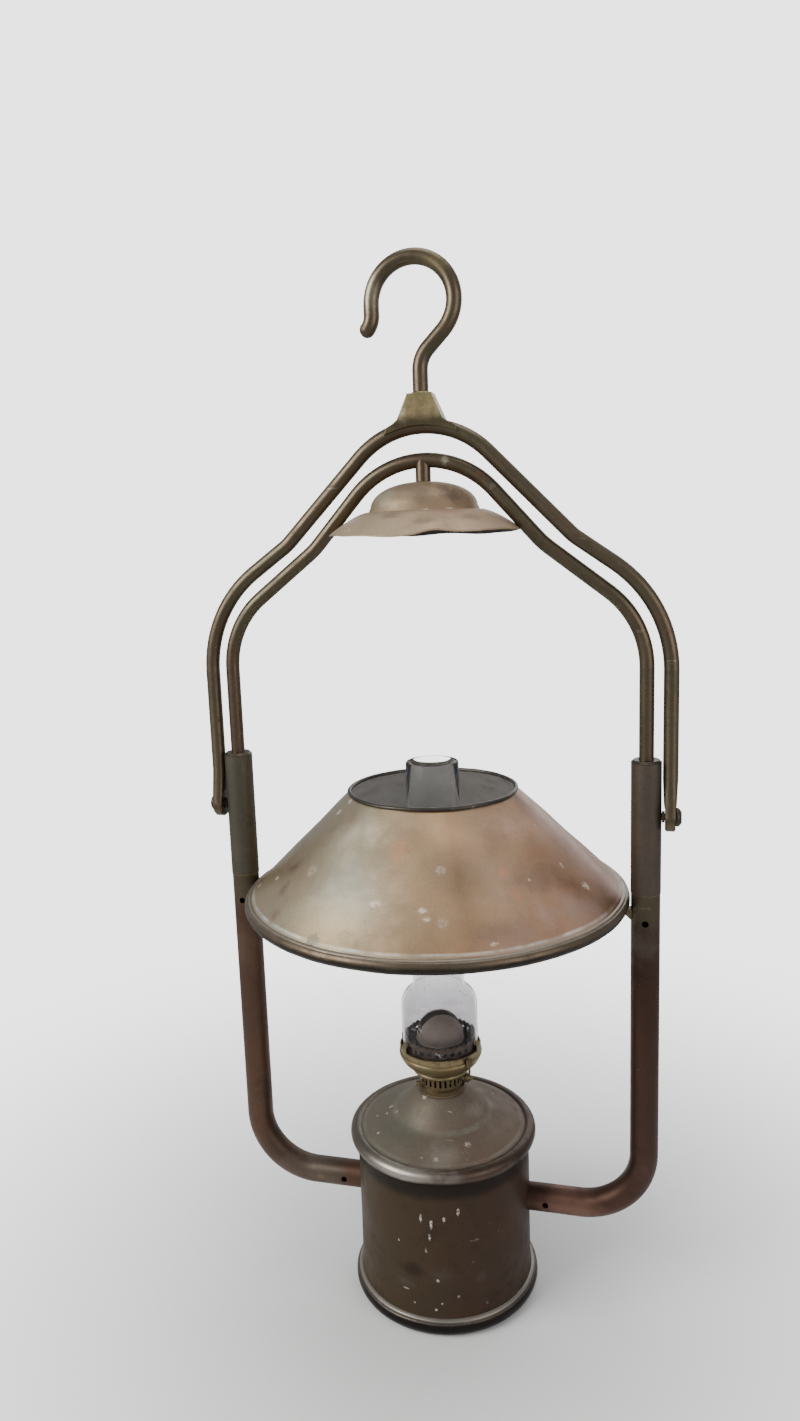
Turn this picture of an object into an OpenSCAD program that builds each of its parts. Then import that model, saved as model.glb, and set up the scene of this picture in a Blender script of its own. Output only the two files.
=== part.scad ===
// Hanging oil lantern: a brass hook and bail carry a swinging frame of rods and copper tubes,
// with a cone shade, a smoke bell, an oil font, a flat-wick burner and a glass chimney.
// The origin is the hook's seat, the highest point inside the hook, and +Z is up.
// The frame lies in the X-Z plane, and every height follows from the stack of pieces below.

/* [Hook] */
// Diameter of the hook's rod
hook_rod_d = 10.6; // [9:0.5:12]
// Centre-line radius of the hook's loop
hook_loop_r = 28.4; // [24:0.2:34]
// How far the loop's centre lies to the side of the stem
hook_offset = 4; // [2:0.5:8]
// Angle that the loop runs on past its widest point before it turns back to the stem
hook_return_turn = 45; // [40:1:55]
// Radius of the bend between the loop and the stem
hook_neck_r = 20; // [14:1:26]
// Straight drop of the open side below the loop's centre
hook_lip = 6.5; // [3:0.5:12]
// Radius of the outward flick at the tip
hook_tip_r = 14; // [10:1:20]
// Angle of the outward flick
hook_tip_turn = 40; // [20:1:50]
// Straight of the stem that shows above the saddle
hook_stem = 15; // [8:1:30]

/* [Saddle] */
// Height of the saddle above the bail's centre line
saddle_h = 21.3; // [18:0.5:26]
// Width of the saddle's flat top
saddle_top_w = 17.6; // [16:0.2:24]
// Width of the saddle's waist
saddle_waist_w = 31.6; // [28:0.2:36]
// Drop from the saddle's top to its waist
saddle_waist_drop = 16; // [12:0.5:16.5]
// Width of the saddle's feet along the bail
saddle_foot_w = 52; // [44:1:60]
// Depth of the saddle at its foot
saddle_depth = 16; // [15:0.5:20]
// How much narrower the saddle is in depth at its top
saddle_draft = 2; // [0:0.5:3]

/* [Outer bail] */
// Diameter of the bail's rod
bail_rod_d = 10.2; // [9:0.5:12]
// Height of the bail's crown above the pivots, both on the centre line
bail_height = 268.5; // [255:0.5:300]
// Radius of the bail's shoulders
bail_shoulder_r = 88; // [70:1:95]
// Angle of the bail's shoulder bends
bail_shoulder_turn = 54.8; // [50:0.2:58]
// Straight below the bail's hollow bend
bail_lower_slope = 29.5; // [20:0.5:40]
// Radius of the bail's hollow bend
bail_hollow_r = 37; // [30:1:60]
// Angle of the bail's hollow bends
bail_hollow_turn = 10.4; // [6:0.2:14]
// Radius of the bail's crown
bail_crown_r = 63; // [55:1:70]
// Gap between the bail's legs and the sleeves
bail_side_gap = 0.6; // [0.4:0.1:3]
// Diameter of the flattened eyes
eye_d = 20; // [14:0.5:22]
// Thickness of the flattened eyes
eye_t = 7; // [5:0.5:8]
// Height over which each leg flattens into its eye
eye_blend = 26; // [20:1:36]

/* [Inner bow] */
// Diameter of the bow's rod
bow_rod_d = 10; // [8.5:0.1:11.5]
// Gap between the bail and the bow at the crown
crown_gap = 12.4; // [9:0.2:20]
// Radius of the bow's shoulders
bow_shoulder_r = 64.5; // [56:0.5:74]
// Angle of the bow's shoulder bends
bow_shoulder_turn = 52.3; // [48:0.1:56]
// Straight below the bow's hollow bend
bow_lower_slope = 49.4; // [40:0.2:58]
// Radius of the bow's hollow bend
bow_hollow_r = 60; // [40:1:80]
// Angle of the bow's hollow bends
bow_hollow_turn = 10.5; // [6:0.1:14]
// Radius of the bow's crown
bow_crown_r = 64.9; // [56:0.1:74]
// How deep the bow's legs sit in the plugs
bow_seat = 18; // [12:1:24]

/* [Pivots] */
// Diameter of the pivot rivets' shanks
pin_d = 5; // [4:0.1:6]
// Diameter of the rivets' heads
head_d = 13; // [10:0.5:16]
// Thickness of the rivets' heads
head_t = 4.2; // [3:0.1:6]
// Diameter of the spacing washers
washer_d = 8; // [7.5:0.1:12]

/* [Sleeves and tubes] */
// Outer diameter of the sleeves
sleeve_d = 20.6; // [20:0.1:24]
// Wall of the sleeves
sleeve_wall = 1.6; // [1:0.1:2.5]
// Length of the sleeves above the pivots
sleeve_above = 39.9; // [34:0.1:50]
// Length of the sleeves below the pivots
sleeve_below = 54.1; // [45:0.1:60]
// Length of the solid plugs in the sleeves' upper ends
plug_len = 48; // [47:1:60]
// Outer diameter of the copper tubes
tube_d = 20; // [18:0.1:20.4]
// Wall of the copper tubes
tube_wall = 1.2; // [0.8:0.1:2]
// Drop from the pivots to the centre line of the horizontal arms
arm_drop = 299.8; // [285:0.1:340]
// Centre-line radius of the elbows
elbow_r = 46; // [35:1:55]
// Diameter of the small holes in the tubes' front walls
tube_hole_d = 4.6; // [3:0.1:6]
// Distance of the upper holes below the sleeves
upper_hole_drop = 20.4; // [18:0.1:30]
// Distance of the lower holes from the font's wall
lower_hole_gap = 13.5; // [12:0.5:20]
// Length of the spigots inside each tube and sleeve
spigot_len = 15; // [10:1:17]
// Length of the stubs that hold the tubes' ends to the font
stub_len = 9; // [6:0.5:9]

/* [Shade] */
// Outer diameter of the shade's rolled rim
shade_d = 278.6; // [270:0.2:300]
// Outer diameter of the shade's upper rim
shade_top_d = 122.8; // [110:0.2:140]
// Height of the shade from rim to rim
shade_h = 84; // [70:0.5:95]
// Thickness of the shade's sheet
shade_sheet = 0.9; // [0.7:0.1:1.5]
// Diameter of the rolled rim's bead
shade_bead_d = 10.2; // [8:0.2:12]
// Diameter of the upper rim's wired edge
shade_top_bead_d = 3; // [2.4:0.1:4]
// Gap between the sleeves' lower ends and the top of the rolled rim
shade_rim_drop = 2.3; // [1:0.1:8]
// Width of the small lugs under the rim
lug_w = 8; // [5:0.5:12]
// Height of the lugs
lug_h = 8; // [5:0.5:9]

/* [Smoke bell] */
// Diameter of the bell's brim
bell_d = 132; // [120:1:150]
// Diameter of the bell's crown
bell_crown_d = 74; // [66:1:84]
// Height of the crown above the brim's root
bell_crown_h = 19.4; // [16:0.2:24]
// Drop of the brim from root to edge
bell_brim_drop = 15.5; // [10:0.5:20]
// Thickness of the bell's sheet
bell_sheet = 1; // [0.8:0.1:1.6]
// Diameter of the stem
stem_d = 10.4; // [7:0.2:11]
// Length of the stem between the bow's centre line and the bell
stem_len = 14.2; // [12:0.2:24]

/* [Font] */
// Diameter of the font's body
font_d = 130; // [120:1:138]
// Wall of the font's body
font_wall = 0.9; // [0.7:0.1:1.5]
// Height of the font from its foot to the top ring's crest
font_h = 129.6; // [120:0.2:140]
// Height of the arms' centre line above the foot
arm_height = 74; // [66:0.2:84]
// Diameter of the round ring at the top
ring_d = 10.4; // [8:0.2:11]
// Height of the hollow half-round foot
foot_d = 14; // [10:0.2:15]
// How far the ring and the foot stand out from the body
ring_step = 5.4; // [4:0.1:6]
// How much of the foot is filed flat to stand on
foot_flat = 0.5; // [0.3:0.1:0.8]
// Wall of the foot
foot_wall = 1; // [0.8:0.1:1.6]
// Diameter of the lid
lid_d = 125.6; // [112:0.2:126]
// How far the lid's edge lies below the top ring's crest
lid_sink = 2.2; // [1:0.1:3]
// Thickness of the lid's sheet
lid_sheet = 1.2; // [0.9:0.1:1.6]
// Diameter of the crease where the lid turns up to the neck
lid_crease_d = 72; // [60:1:84]
// Rise from the lid's edge to the crease
lid_dish = 9.8; // [6:0.2:14]
// Rise from the crease to the neck
lid_cone = 19.4; // [14:0.2:24]
// Diameter of the neck
neck_d = 37; // [36:0.2:42]

/* [Burner] */
// Diameter of the bore in the filler collar
collar_bore_d = 28.1; // [26:0.1:30]
// Depth of the burner's spigot in the collar
collar_depth = 10; // [7:0.5:14]
// Diameter of the burner's lower ring
burner_ring_d = 35.4; // [34:0.2:38]
// Height of the burner's lower ring
burner_ring_h = 4; // [3:0.2:6]
// Diameter of the slotted drum
drum_d = 32; // [31:0.2:34]
// Height of the slotted drum
drum_h = 9.6; // [8.6:0.2:14]
// Number of air slots in the drum
drum_slots = 26; // [16:1:32]
// Diameter of the gallery's band
gallery_d = 62.2; // [60:0.2:70]
// Height of the gallery above the drum
gallery_h = 21; // [18:0.5:26]
// Sheet of the burner's brass
burner_sheet = 0.9; // [0.6:0.1:1.2]
// Diameter of the bead on the gallery's catch
catch_ball_d = 4; // [3:0.2:5]
// Width of the catch's plate
catch_w = 6; // [4:0.5:8]
// Angle of the catch around the gallery
catch_turn = -37; // [-60:1:0]
// Angle of the wick and its spindle from the frame's plane
burner_turn = 23; // [0:1:45]
// Width of the wick
wick_w = 16; // [12:0.5:18]
// Thickness of the wick
wick_t = 2.2; // [1.6:0.1:3]
// Length of the wick that hangs below the neck
wick_tail = 132; // [60:1:136]
// Height of the deflector's slot
flame_slot_w = 9; // [7:0.5:11]
// Radius of the wick's spur wheels
spur_r = 4; // [3:0.1:4.5]
// Diameter of the wick's spindle
spindle_d = 2.4; // [1.8:0.1:2.6]
// Diameter of the wick knob
knob_d = 7.4; // [6:0.2:9]

/* [Chimney] */
// Outer diameter of the chimney's bulb
bulb_d = 56.6; // [54:0.2:58]
// Outer diameter of the chimney's tube
flue_d = 38; // [34:0.5:44]
// Height of the whole chimney
chimney_h = 221; // [200:1:240]
// Height of the chimney's bulb below its shoulder
bulb_h = 36; // [30:1:40]
// Height of the chimney's shoulder
shoulder_h = 20; // [18:1:28]
// Thickness of the glass
glass_t = 1.6; // [1.2:0.1:2.2]

/* [Clearances] */
// Radial gap of brazed and soldered seats
braze_gap = 0.05; // [0.02:0.01:0.1]
// Radial running gap of the pivots, spindle and collar
run_gap = 0.05; // [0.02:0.01:0.1]
// Side play beside each bail eye
eye_play = 0.2; // [0.15:0.05:0.5]
// Gap around loose pieces such as the wick and the chimney
loose_gap = 0.3; // [0.2:0.05:0.5]

/* [Hidden] */
$fn = 96;
knuckle = 0.03;
bail_r = bail_rod_d / 2;
bow_r = bow_rod_d / 2;
hook_r = hook_rod_d / 2;
sleeve_r = sleeve_d / 2;
tube_r = tube_d / 2;
font_r = font_d / 2;
sleeve_bore_r = sleeve_r - sleeve_wall;
tube_bore_r = tube_r - tube_wall;

// Across the frame, from the shade's rim outwards
upright_x = shade_d / 2 + loose_gap + tube_r;
bail_x = upright_x + sleeve_r + bail_side_gap + bail_r;

// Down the hanger, from the hook's seat
loop_z = hook_r - hook_loop_r;
neck_run = (hook_loop_r * cos(hook_return_turn) - hook_offset
            - hook_neck_r * (1 - cos(hook_return_turn))) / sin(hook_return_turn);
stem_top_z = loop_z - (hook_loop_r + hook_neck_r) * sin(hook_return_turn)
             - neck_run * cos(hook_return_turn);
saddle_z = stem_top_z - hook_stem;
bail_crown_z = saddle_z - saddle_h;
pivot_z = bail_crown_z - bail_height;
bow_crown_z = bail_crown_z - bail_r - crown_gap - bow_r;

// Down the frame, from the pivots
sleeve_top_z = pivot_z + sleeve_above;
sleeve_end_z = pivot_z - sleeve_below;
cap_h = 2;
cap_chamfer = 1.5;
flange_h = 0.8;
tube_top_z = sleeve_end_z - flange_h;
arm_z = pivot_z - arm_drop;
rim_z = sleeve_end_z - shade_rim_drop - shade_bead_d / 2;
rim_r = (shade_d - shade_bead_d) / 2;
shade_top_z = rim_z - shade_bead_d / 2 + shade_h;
shade_top_r = (shade_top_d - shade_top_bead_d) / 2;

// Up the font, from its foot
foot_z = arm_z - arm_height;
ring_r = font_r + ring_step - ring_d / 2;
foot_r = font_r + ring_step - foot_d / 2;
foot_lip = 1.5;
foot_ring_z = foot_z + foot_d / 2 - foot_flat;
base_z = foot_ring_z + foot_d / 2 + braze_gap;
base_t = 1.2;
top_ring_z = foot_z + font_h - ring_d / 2;
lid_edge_z = foot_z + font_h - lid_sink;
lid_crease_z = lid_edge_z + lid_dish;
neck_z = lid_crease_z + lid_cone;
collar_wall = 1.1;
collar_flange_h = 1.1;
collar_z = neck_z + collar_flange_h;
collar_bore_r = collar_bore_d / 2;

// Up the burner, from the collar
burner_z = collar_z + 0.1;
drum_z = burner_z + burner_ring_h;
bowl_z = drum_z + drum_h;
gallery_top_z = bowl_z + gallery_h;
seat_z = gallery_top_z - 4;
gallery_r = gallery_d / 2;
crown_r = bulb_d / 2 - glass_t - loose_gap - 0.3;
crown_h = 12.5;
dome_r = 17.5;
dome_rise = 11;
dome_z = seat_z + dome_rise;
spigot_r = collar_bore_r - run_gap;
drum_r = drum_d / 2;

// Across the wick, in the burner's own turned frame
tube_gap = loose_gap;
wick_tube_t = 0.5;
wick_case_w = wick_w + 2 * (tube_gap + wick_tube_t);
wick_case_t = wick_t + 2 * (tube_gap + wick_tube_t);
wick_case_z = burner_z - collar_depth - 4;
wick_case_top_z = dome_z + 2.5;
wick_top_z = wick_case_top_z + 2;
wick_low_z = neck_z - wick_tail;
mesh_gap = 0.15;
spindle_y = -(wick_t / 2 + mesh_gap + spur_r);
spindle_z = drum_z + 2.6;
spindle_end = drum_r + 3.4;
knob_t = 3.6;
spur_t = 1.2;
spur_pitch = 5;

// A path in the X-Z plane starts at [x, z, heading] and is a list of [length, radius, turn].
// A radius of 0 is a straight. Any other radius is an arc, and a positive turn goes left.
function bend_centre(s, b) =
  let (n = s[2] + sign(b[2]) * 90) [s[0] + b[1] * cos(n), s[1] + b[1] * sin(n)];
function after(s, b) =
  b[1] == 0
    ? [s[0] + b[0] * cos(s[2]), s[1] + b[0] * sin(s[2]), s[2]]
    : let (c = bend_centre(s, b), a = s[2] - sign(b[2]) * 90 + b[2])
      [c[0] + b[1] * cos(a), c[1] + b[1] * sin(a), s[2] + b[2]];
function end_of(s, path, i = 0) = i == len(path) ? s : end_of(after(s, path[i]), path, i + 1);

// Half of an arch: a leg, a shoulder, a slope with a hollow bend in it, and half the crown
function arch(leg, sh_r, sh_turn, lower, ho_r, ho_turn, upper, cr_r) =
  [[leg, 0, 0], [0, sh_r, sh_turn], [lower, 0, 0], [0, ho_r, -ho_turn], [upper, 0, 0],
   [0, cr_r, 90 - sh_turn + ho_turn]];
function fitted_arch(x, low_z, crown_z, sh_r, sh_turn, lower, ho_r, ho_turn, cr_r) =
  let (short = end_of([x, 0, 90], arch(0, sh_r, sh_turn, lower, ho_r, ho_turn, 0, cr_r)),
       slope = 90 + sh_turn - ho_turn,
       upper = -short[0] / cos(slope),
       rise = short[1] + upper * sin(slope))
  arch(crown_z - low_z - rise, sh_r, sh_turn, lower, ho_r, ho_turn, upper, cr_r);

// Each bend's end holds a ball a hair fatter than the rod, so that the lengths join as one solid
module bent_rod(s, path, r, i = 0) {
  if (i < len(path)) {
    b = path[i];
    end = after(s, b);
    if (b[1] == 0) {
      translate([s[0], 0, s[1]]) rotate([0, 90 - s[2], 0]) cylinder(r = r, h = b[0]);
    } else {
      c = bend_centre(s, b);
      a = s[2] - sign(b[2]) * 90;
      translate([c[0], 0, c[1]]) rotate([90, 0, 0]) rotate([0, 0, min(a, a + b[2])])
        rotate_extrude(angle = abs(b[2])) translate([b[1], 0]) circle(r);
    }
    translate([end[0], 0, end[1]]) sphere(r + knuckle);
    bent_rod(end, path, r, i + 1);
  }
}

// The whole circle that a crown is part of, as a cutter for what sits on the crown
module crown_groove(crown_z, cr_r, r) {
  translate([0, 0, crown_z - cr_r]) rotate([90, 0, 0]) rotate_extrude()
    translate([cr_r, 0]) circle(r);
}

module both_sides() {
  children();
  mirror([1, 0, 0]) children();
}

module ring(r, thick, z) {
  translate([0, 0, z]) rotate_extrude() translate([r, 0]) circle(thick / 2);
}

module pipe(r_out, r_in, low_z, top_z) {
  difference() {
    translate([0, 0, low_z]) cylinder(r = r_out, h = top_z - low_z);
    translate([0, 0, low_z - 1]) cylinder(r = r_in, h = top_z - low_z + 2);
  }
}

// A bar along +X from x1 to x2 at the pivots' height
module pivot_bar(r, x1, x2) {
  translate([x1, 0, pivot_z]) rotate([0, 90, 0]) cylinder(r = r, h = x2 - x1);
}

// --- Hanger ---

module hook() {
  stem_seat = saddle_z - saddle_h + bail_r + 1;
  path = [[stem_top_z - stem_seat, 0, 0], [0, hook_neck_r, -hook_return_turn],
          [neck_run, 0, 0], [0, hook_loop_r, 180 + hook_return_turn], [hook_lip, 0, 0],
          [0, hook_tip_r, -hook_tip_turn]];
  color("#7d704a") bent_rod([0, stem_seat, 90], path, hook_r);
}

bail_low_z = pivot_z + eye_blend;
bail_path = fitted_arch(bail_x, bail_low_z, bail_crown_z, bail_shoulder_r, bail_shoulder_turn,
                        bail_lower_slope, bail_hollow_r, bail_hollow_turn, bail_crown_r);

module outer_bail() {
  color("#6b6046") difference() {
    both_sides() {
      bent_rod([bail_x, bail_low_z, 90], bail_path, bail_r);
      hull() {
        translate([bail_x, 0, bail_low_z - 0.4]) cylinder(r = bail_r - 0.05, h = 1, $fn = 32);
        translate([bail_x, 0, pivot_z]) rotate([0, 90, 0])
          cylinder(d = eye_d - 2, h = eye_t, center = true, $fn = 32);
        translate([bail_x, 0, pivot_z]) rotate([0, 90, 0])
          cylinder(d = eye_d, h = eye_t - 2, center = true, $fn = 32);
      }
    }
    both_sides() pivot_bar(pin_d / 2 + run_gap, bail_x - eye_t, bail_x + eye_t);
    both_sides() for (side = [-1, 1])
      pivot_bar(eye_d / 2 + 0.5, bail_x + side * eye_t - eye_t / 2, bail_x + side * eye_t + eye_t / 2);
  }
}

module hook_saddle() {
  crown_centre_z = bail_crown_z - bail_crown_r;
  foot_a = asin(saddle_foot_w / 2 / bail_crown_r);
  foot_top_z = crown_centre_z + (bail_crown_r + bail_r) * cos(foot_a) + 0.4;
  half_front = [[saddle_top_w / 2, saddle_z], [saddle_waist_w / 2, saddle_z - saddle_waist_drop],
                [saddle_foot_w / 2, foot_top_z], [saddle_foot_w / 2, crown_centre_z]];
  half_side = [[saddle_depth / 2, crown_centre_z], [saddle_depth / 2, bail_crown_z],
               [(saddle_depth - saddle_draft) / 2, saddle_z + 1]];
  function flipped(p) = [for (i = [len(p) - 1 : -1 : 0]) [-p[i][0], p[i][1]]];
  color("#8f8356") difference() {
    intersection() {
      rotate([90, 0, 0]) linear_extrude(2 * saddle_depth, center = true)
        polygon(concat(half_front, flipped(half_front)));
      rotate([90, 0, 90]) linear_extrude(2 * saddle_foot_w, center = true)
        polygon(concat(half_side, flipped(half_side)));
    }
    translate([0, 0, crown_centre_z]) rotate([90, 0, 0])
      cylinder(r = bail_crown_r, h = 2 * saddle_depth, center = true);
    crown_groove(bail_crown_z, bail_crown_r, bail_r + braze_gap);
    translate([0, 0, bail_crown_z - bail_r]) cylinder(r = hook_r + braze_gap, h = 2 * saddle_h);
  }
}

// --- Pivots ---

eye_in_x = bail_x - eye_t / 2;
eye_out_x = bail_x + eye_t / 2;

module pivot_rivet_right() {
  head_in_x = eye_out_x + eye_play;
  color("#5c5344") {
    pivot_bar(pin_d / 2, upright_x + 1, head_in_x + 0.5);
    pivot_bar(head_d / 2, head_in_x, head_in_x + head_t * 0.6);
    translate([head_in_x + head_t * 0.6, 0, pivot_z]) rotate([0, 90, 0])
      cylinder(d1 = head_d, d2 = head_d - 5, h = head_t * 0.4);
  }
}

module pivot_washer_right() {
  color("#4a4238") difference() {
    pivot_bar(washer_d / 2, upright_x + sleeve_r + 0.1, eye_in_x - eye_play);
    pivot_bar(pin_d / 2 + braze_gap, upright_x, bail_x);
  }
}

module pivot_rivet_left() mirror([1, 0, 0]) pivot_rivet_right();
module pivot_washer_left() mirror([1, 0, 0]) pivot_washer_right();

// --- Bow and smoke bell ---

bow_low_z = sleeve_top_z - bow_seat;
bow_path = fitted_arch(upright_x, bow_low_z, bow_crown_z, bow_shoulder_r, bow_shoulder_turn,
                       bow_lower_slope, bow_hollow_r, bow_hollow_turn, bow_crown_r);
bell_top_z = bow_crown_z - stem_len;
bell_root_z = bell_top_z - bell_crown_h;

module inner_bow() {
  color("#6a5e45") both_sides() bent_rod([upright_x, bow_low_z, 90], bow_path, bow_r);
}

tenon_d = stem_d - 3;
rivet_d = stem_d + 4;

module bell_stem() {
  rivet_z = bell_top_z - bell_sheet - braze_gap;
  color("#655b47") {
    difference() {
      translate([0, 0, bell_top_z + braze_gap]) cylinder(d = stem_d, h = stem_len);
      crown_groove(bow_crown_z, bow_crown_r, bow_r + braze_gap);
      translate([0, 0, bow_crown_z]) cylinder(d = stem_d + 2, h = stem_len);
    }
    translate([0, 0, rivet_z - 1]) cylinder(d = tenon_d, h = bell_top_z - rivet_z + 2);
    translate([0, 0, rivet_z - 2.5]) cylinder(d1 = rivet_d - 4, d2 = rivet_d, h = 1);
    translate([0, 0, rivet_z - 1.5]) cylinder(d = rivet_d, h = 1.5);
  }
}

// A round crown, flat where the stem holds it, and a brim that droops towards its edge
module smoke_bell() {
  crown_w = bell_crown_d / 2;
  seat_a = asin((rivet_d / 2 + loose_gap) / crown_w);
  edge_a = 80;
  brim_w = bell_d / 2 - crown_w;
  crown = [for (i = [0 : 12]) let (a = seat_a + (edge_a - seat_a) * i / 12)
           [crown_w * sin(a), bell_root_z + bell_crown_h * cos(a) / cos(seat_a)]];
  brim = [for (t = [0.06 : 0.188 : 1.001])
          [crown_w + brim_w * t, bell_root_z - bell_brim_drop * pow(t, 1.5)]];
  skin = concat([[tenon_d / 2 + braze_gap, bell_top_z]], crown, brim);
  lining = [for (i = [len(skin) - 1 : -1 : 0]) skin[i] - [0, bell_sheet]];
  color("#8c7864") rotate_extrude() polygon(concat(skin, lining));
}

// --- Sleeves and lower tubes ---

module sleeve_right() {
  color("#46413a") difference() {
    translate([upright_x, 0, 0]) pipe(sleeve_r, sleeve_bore_r, sleeve_end_z, sleeve_top_z - cap_h);
    pivot_bar(pin_d / 2 + braze_gap, upright_x, bail_x);
  }
}

module sleeve_plug_right() {
  seat_r = sleeve_bore_r - braze_gap;
  color("#6f6650") difference() {
    translate([upright_x, 0, 0]) {
      translate([0, 0, sleeve_top_z - plug_len]) cylinder(r = seat_r, h = plug_len - cap_h + 0.2);
      translate([0, 0, sleeve_top_z - cap_h + braze_gap])
        cylinder(r = sleeve_r, h = cap_h - cap_chamfer);
      translate([0, 0, sleeve_top_z - cap_chamfer + braze_gap])
        cylinder(r1 = sleeve_r, r2 = sleeve_r - cap_chamfer, h = cap_chamfer);
    }
    translate([upright_x, 0, bow_low_z - braze_gap]) cylinder(r = bow_r + braze_gap, h = 2 * bow_seat);
    pivot_bar(pin_d / 2 + braze_gap, upright_x + 1 - braze_gap, bail_x);
  }
}

// The flange of each spigot shows as a thin bright ring under the sleeve
module tube_spigot_right() {
  color("#8a7d5a") translate([upright_x, 0, 0]) {
    translate([0, 0, sleeve_end_z - braze_gap])
      cylinder(r = sleeve_bore_r - braze_gap, h = spigot_len);
    translate([0, 0, tube_top_z]) cylinder(r = sleeve_r - 0.1, h = flange_h - braze_gap);
    translate([0, 0, tube_top_z - spigot_len])
      cylinder(r = tube_bore_r - braze_gap, h = spigot_len + 0.1);
  }
}

tube_start_z = tube_top_z - braze_gap;
tube_path = [[tube_start_z - arm_z - elbow_r, 0, 0], [0, elbow_r, -90],
             [upright_x - elbow_r - font_r + 6, 0, 0]];

module lower_tube_right() {
  bore_path = concat([[1 + tube_path[0][0], 0, 0]], [tube_path[1]], [[tube_path[2][0] + 1, 0, 0]]);
  color("#7a5340") difference() {
    bent_rod([upright_x, tube_start_z, 270], tube_path, tube_r);
    bent_rod([upright_x, tube_start_z + 1, 270], bore_path, tube_bore_r);
    translate([0, 0, arm_z - tube_d]) cylinder(r = font_r + braze_gap, h = 2 * tube_d);
    translate([upright_x, 0, sleeve_end_z - upper_hole_drop]) rotate([90, 0, 0])
      cylinder(d = tube_hole_d, h = tube_d);
    translate([font_r + lower_hole_gap, 0, arm_z]) rotate([90, 0, 0])
      cylinder(d = tube_hole_d, h = tube_d);
  }
}

module font_stub_right() {
  color("#8a7d5a") difference() {
    translate([font_r - 6, 0, arm_z]) rotate([0, 90, 0])
      cylinder(r = tube_bore_r - braze_gap, h = stub_len + 6);
    translate([0, 0, arm_z - tube_d]) cylinder(r = font_r + braze_gap, h = 2 * tube_d);
  }
}

module sleeve_left() mirror([1, 0, 0]) sleeve_right();
module sleeve_plug_left() mirror([1, 0, 0]) sleeve_plug_right();
module tube_spigot_left() mirror([1, 0, 0]) tube_spigot_right();
module lower_tube_left() mirror([1, 0, 0]) lower_tube_right();
module font_stub_left() mirror([1, 0, 0]) font_stub_right();

// --- Shade ---

module shade_cone() {
  low = [rim_r + shade_bead_d * 0.2, rim_z + shade_bead_d * 0.2];
  top = [shade_top_r, shade_top_z - shade_top_bead_d / 2];
  slope = atan2(top[1] - low[1], low[0] - top[0]);
  inwards = shade_sheet * [sin(slope), cos(slope)];
  color("#8d7862") difference() {
    rotate_extrude() polygon([low, top, top - inwards, low - inwards]);
    ring(rim_r, shade_bead_d + 2 * braze_gap, rim_z);
    ring(shade_top_r, shade_top_bead_d + 2 * braze_gap, shade_top_z - shade_top_bead_d / 2);
  }
}

module shade_rim() {
  color("#58524a") ring(rim_r, shade_bead_d, rim_z);
}

module shade_top_rim() {
  color("#4f4a42") ring(shade_top_r, shade_top_bead_d, shade_top_z - shade_top_bead_d / 2);
}

// Small gussets brazed to the uprights, which the rolled rim rests on
module shade_lug_right() {
  top_z = rim_z - shade_bead_d / 2 - braze_gap;
  color("#8a7d5a") difference() {
    rotate([90, 0, 0]) linear_extrude(lug_w, center = true)
      polygon([[upright_x, top_z], [rim_r - 1, top_z], [rim_r - 1, top_z - 1.4],
               [upright_x - tube_r + 0.8, top_z - lug_h], [upright_x, top_z - lug_h]]);
    translate([upright_x, 0, top_z - 2 * lug_h]) cylinder(r = tube_r + braze_gap, h = 4 * lug_h);
  }
}

module shade_lug_left() mirror([1, 0, 0]) shade_lug_right();

// --- Font ---

module font_body() {
  color("#4b3c31") difference() {
    pipe(font_r, font_r - font_wall, foot_ring_z, top_ring_z);
    ring(foot_r, foot_d + 2 * braze_gap, foot_ring_z);
    ring(ring_r, ring_d + 2 * braze_gap, top_ring_z);
  }
}

// The plate lies inside the body, on the crest of the foot
module font_base() {
  color("#40352c") translate([0, 0, base_z])
    cylinder(r = font_r - font_wall - braze_gap, h = base_t);
}

// The foot is a hollow roll, open on its inner side
module font_foot_ring() {
  color("#57504a") difference() {
    ring(foot_r, foot_d, foot_ring_z);
    ring(foot_r, foot_d - 2 * foot_wall, foot_ring_z);
    translate([0, 0, foot_z - foot_d]) cylinder(r = foot_r + foot_d, h = foot_d);
    translate([0, 0, foot_z - 1]) cylinder(r = foot_r - foot_lip, h = 2 * foot_d);
  }
}

module font_top_ring() {
  color("#5b544d") ring(ring_r, ring_d, top_ring_z);
}

module font_lid() {
  edge_r = lid_d / 2;
  crease_r = lid_crease_d / 2;
  neck_r = neck_d / 2;
  hole_r = collar_bore_r + collar_wall + braze_gap;
  skin = [[edge_r, lid_edge_z], [crease_r + 4, lid_crease_z - lid_dish * 0.13],
          [crease_r - 0.5, lid_crease_z + 0.6], [crease_r - 3.5, lid_crease_z + 3.4],
          [neck_r + 1, neck_z - 2.4], [neck_r - 0.6, neck_z], [hole_r, neck_z]];
  under = [[hole_r, neck_z - lid_sheet], [neck_r - 2, neck_z - lid_sheet],
           [crease_r - 5.2, lid_crease_z + 2.4], [crease_r - 1, lid_crease_z - lid_sheet],
           [edge_r, lid_edge_z - lid_sheet]];
  color("#6a6157") difference() {
    rotate_extrude() polygon(concat(skin, under));
    ring(ring_r, ring_d + 2 * braze_gap, top_ring_z);
  }
}

module filler_collar() {
  wall_r = collar_bore_r + collar_wall;
  low_z = neck_z - collar_depth - 0.5;
  color("#927f5a") {
    pipe(wall_r, collar_bore_r, low_z, neck_z + 0.2);
    pipe(neck_d / 2 - 1, collar_bore_r, neck_z + braze_gap, collar_z);
  }
}

// --- Burner ---

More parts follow.
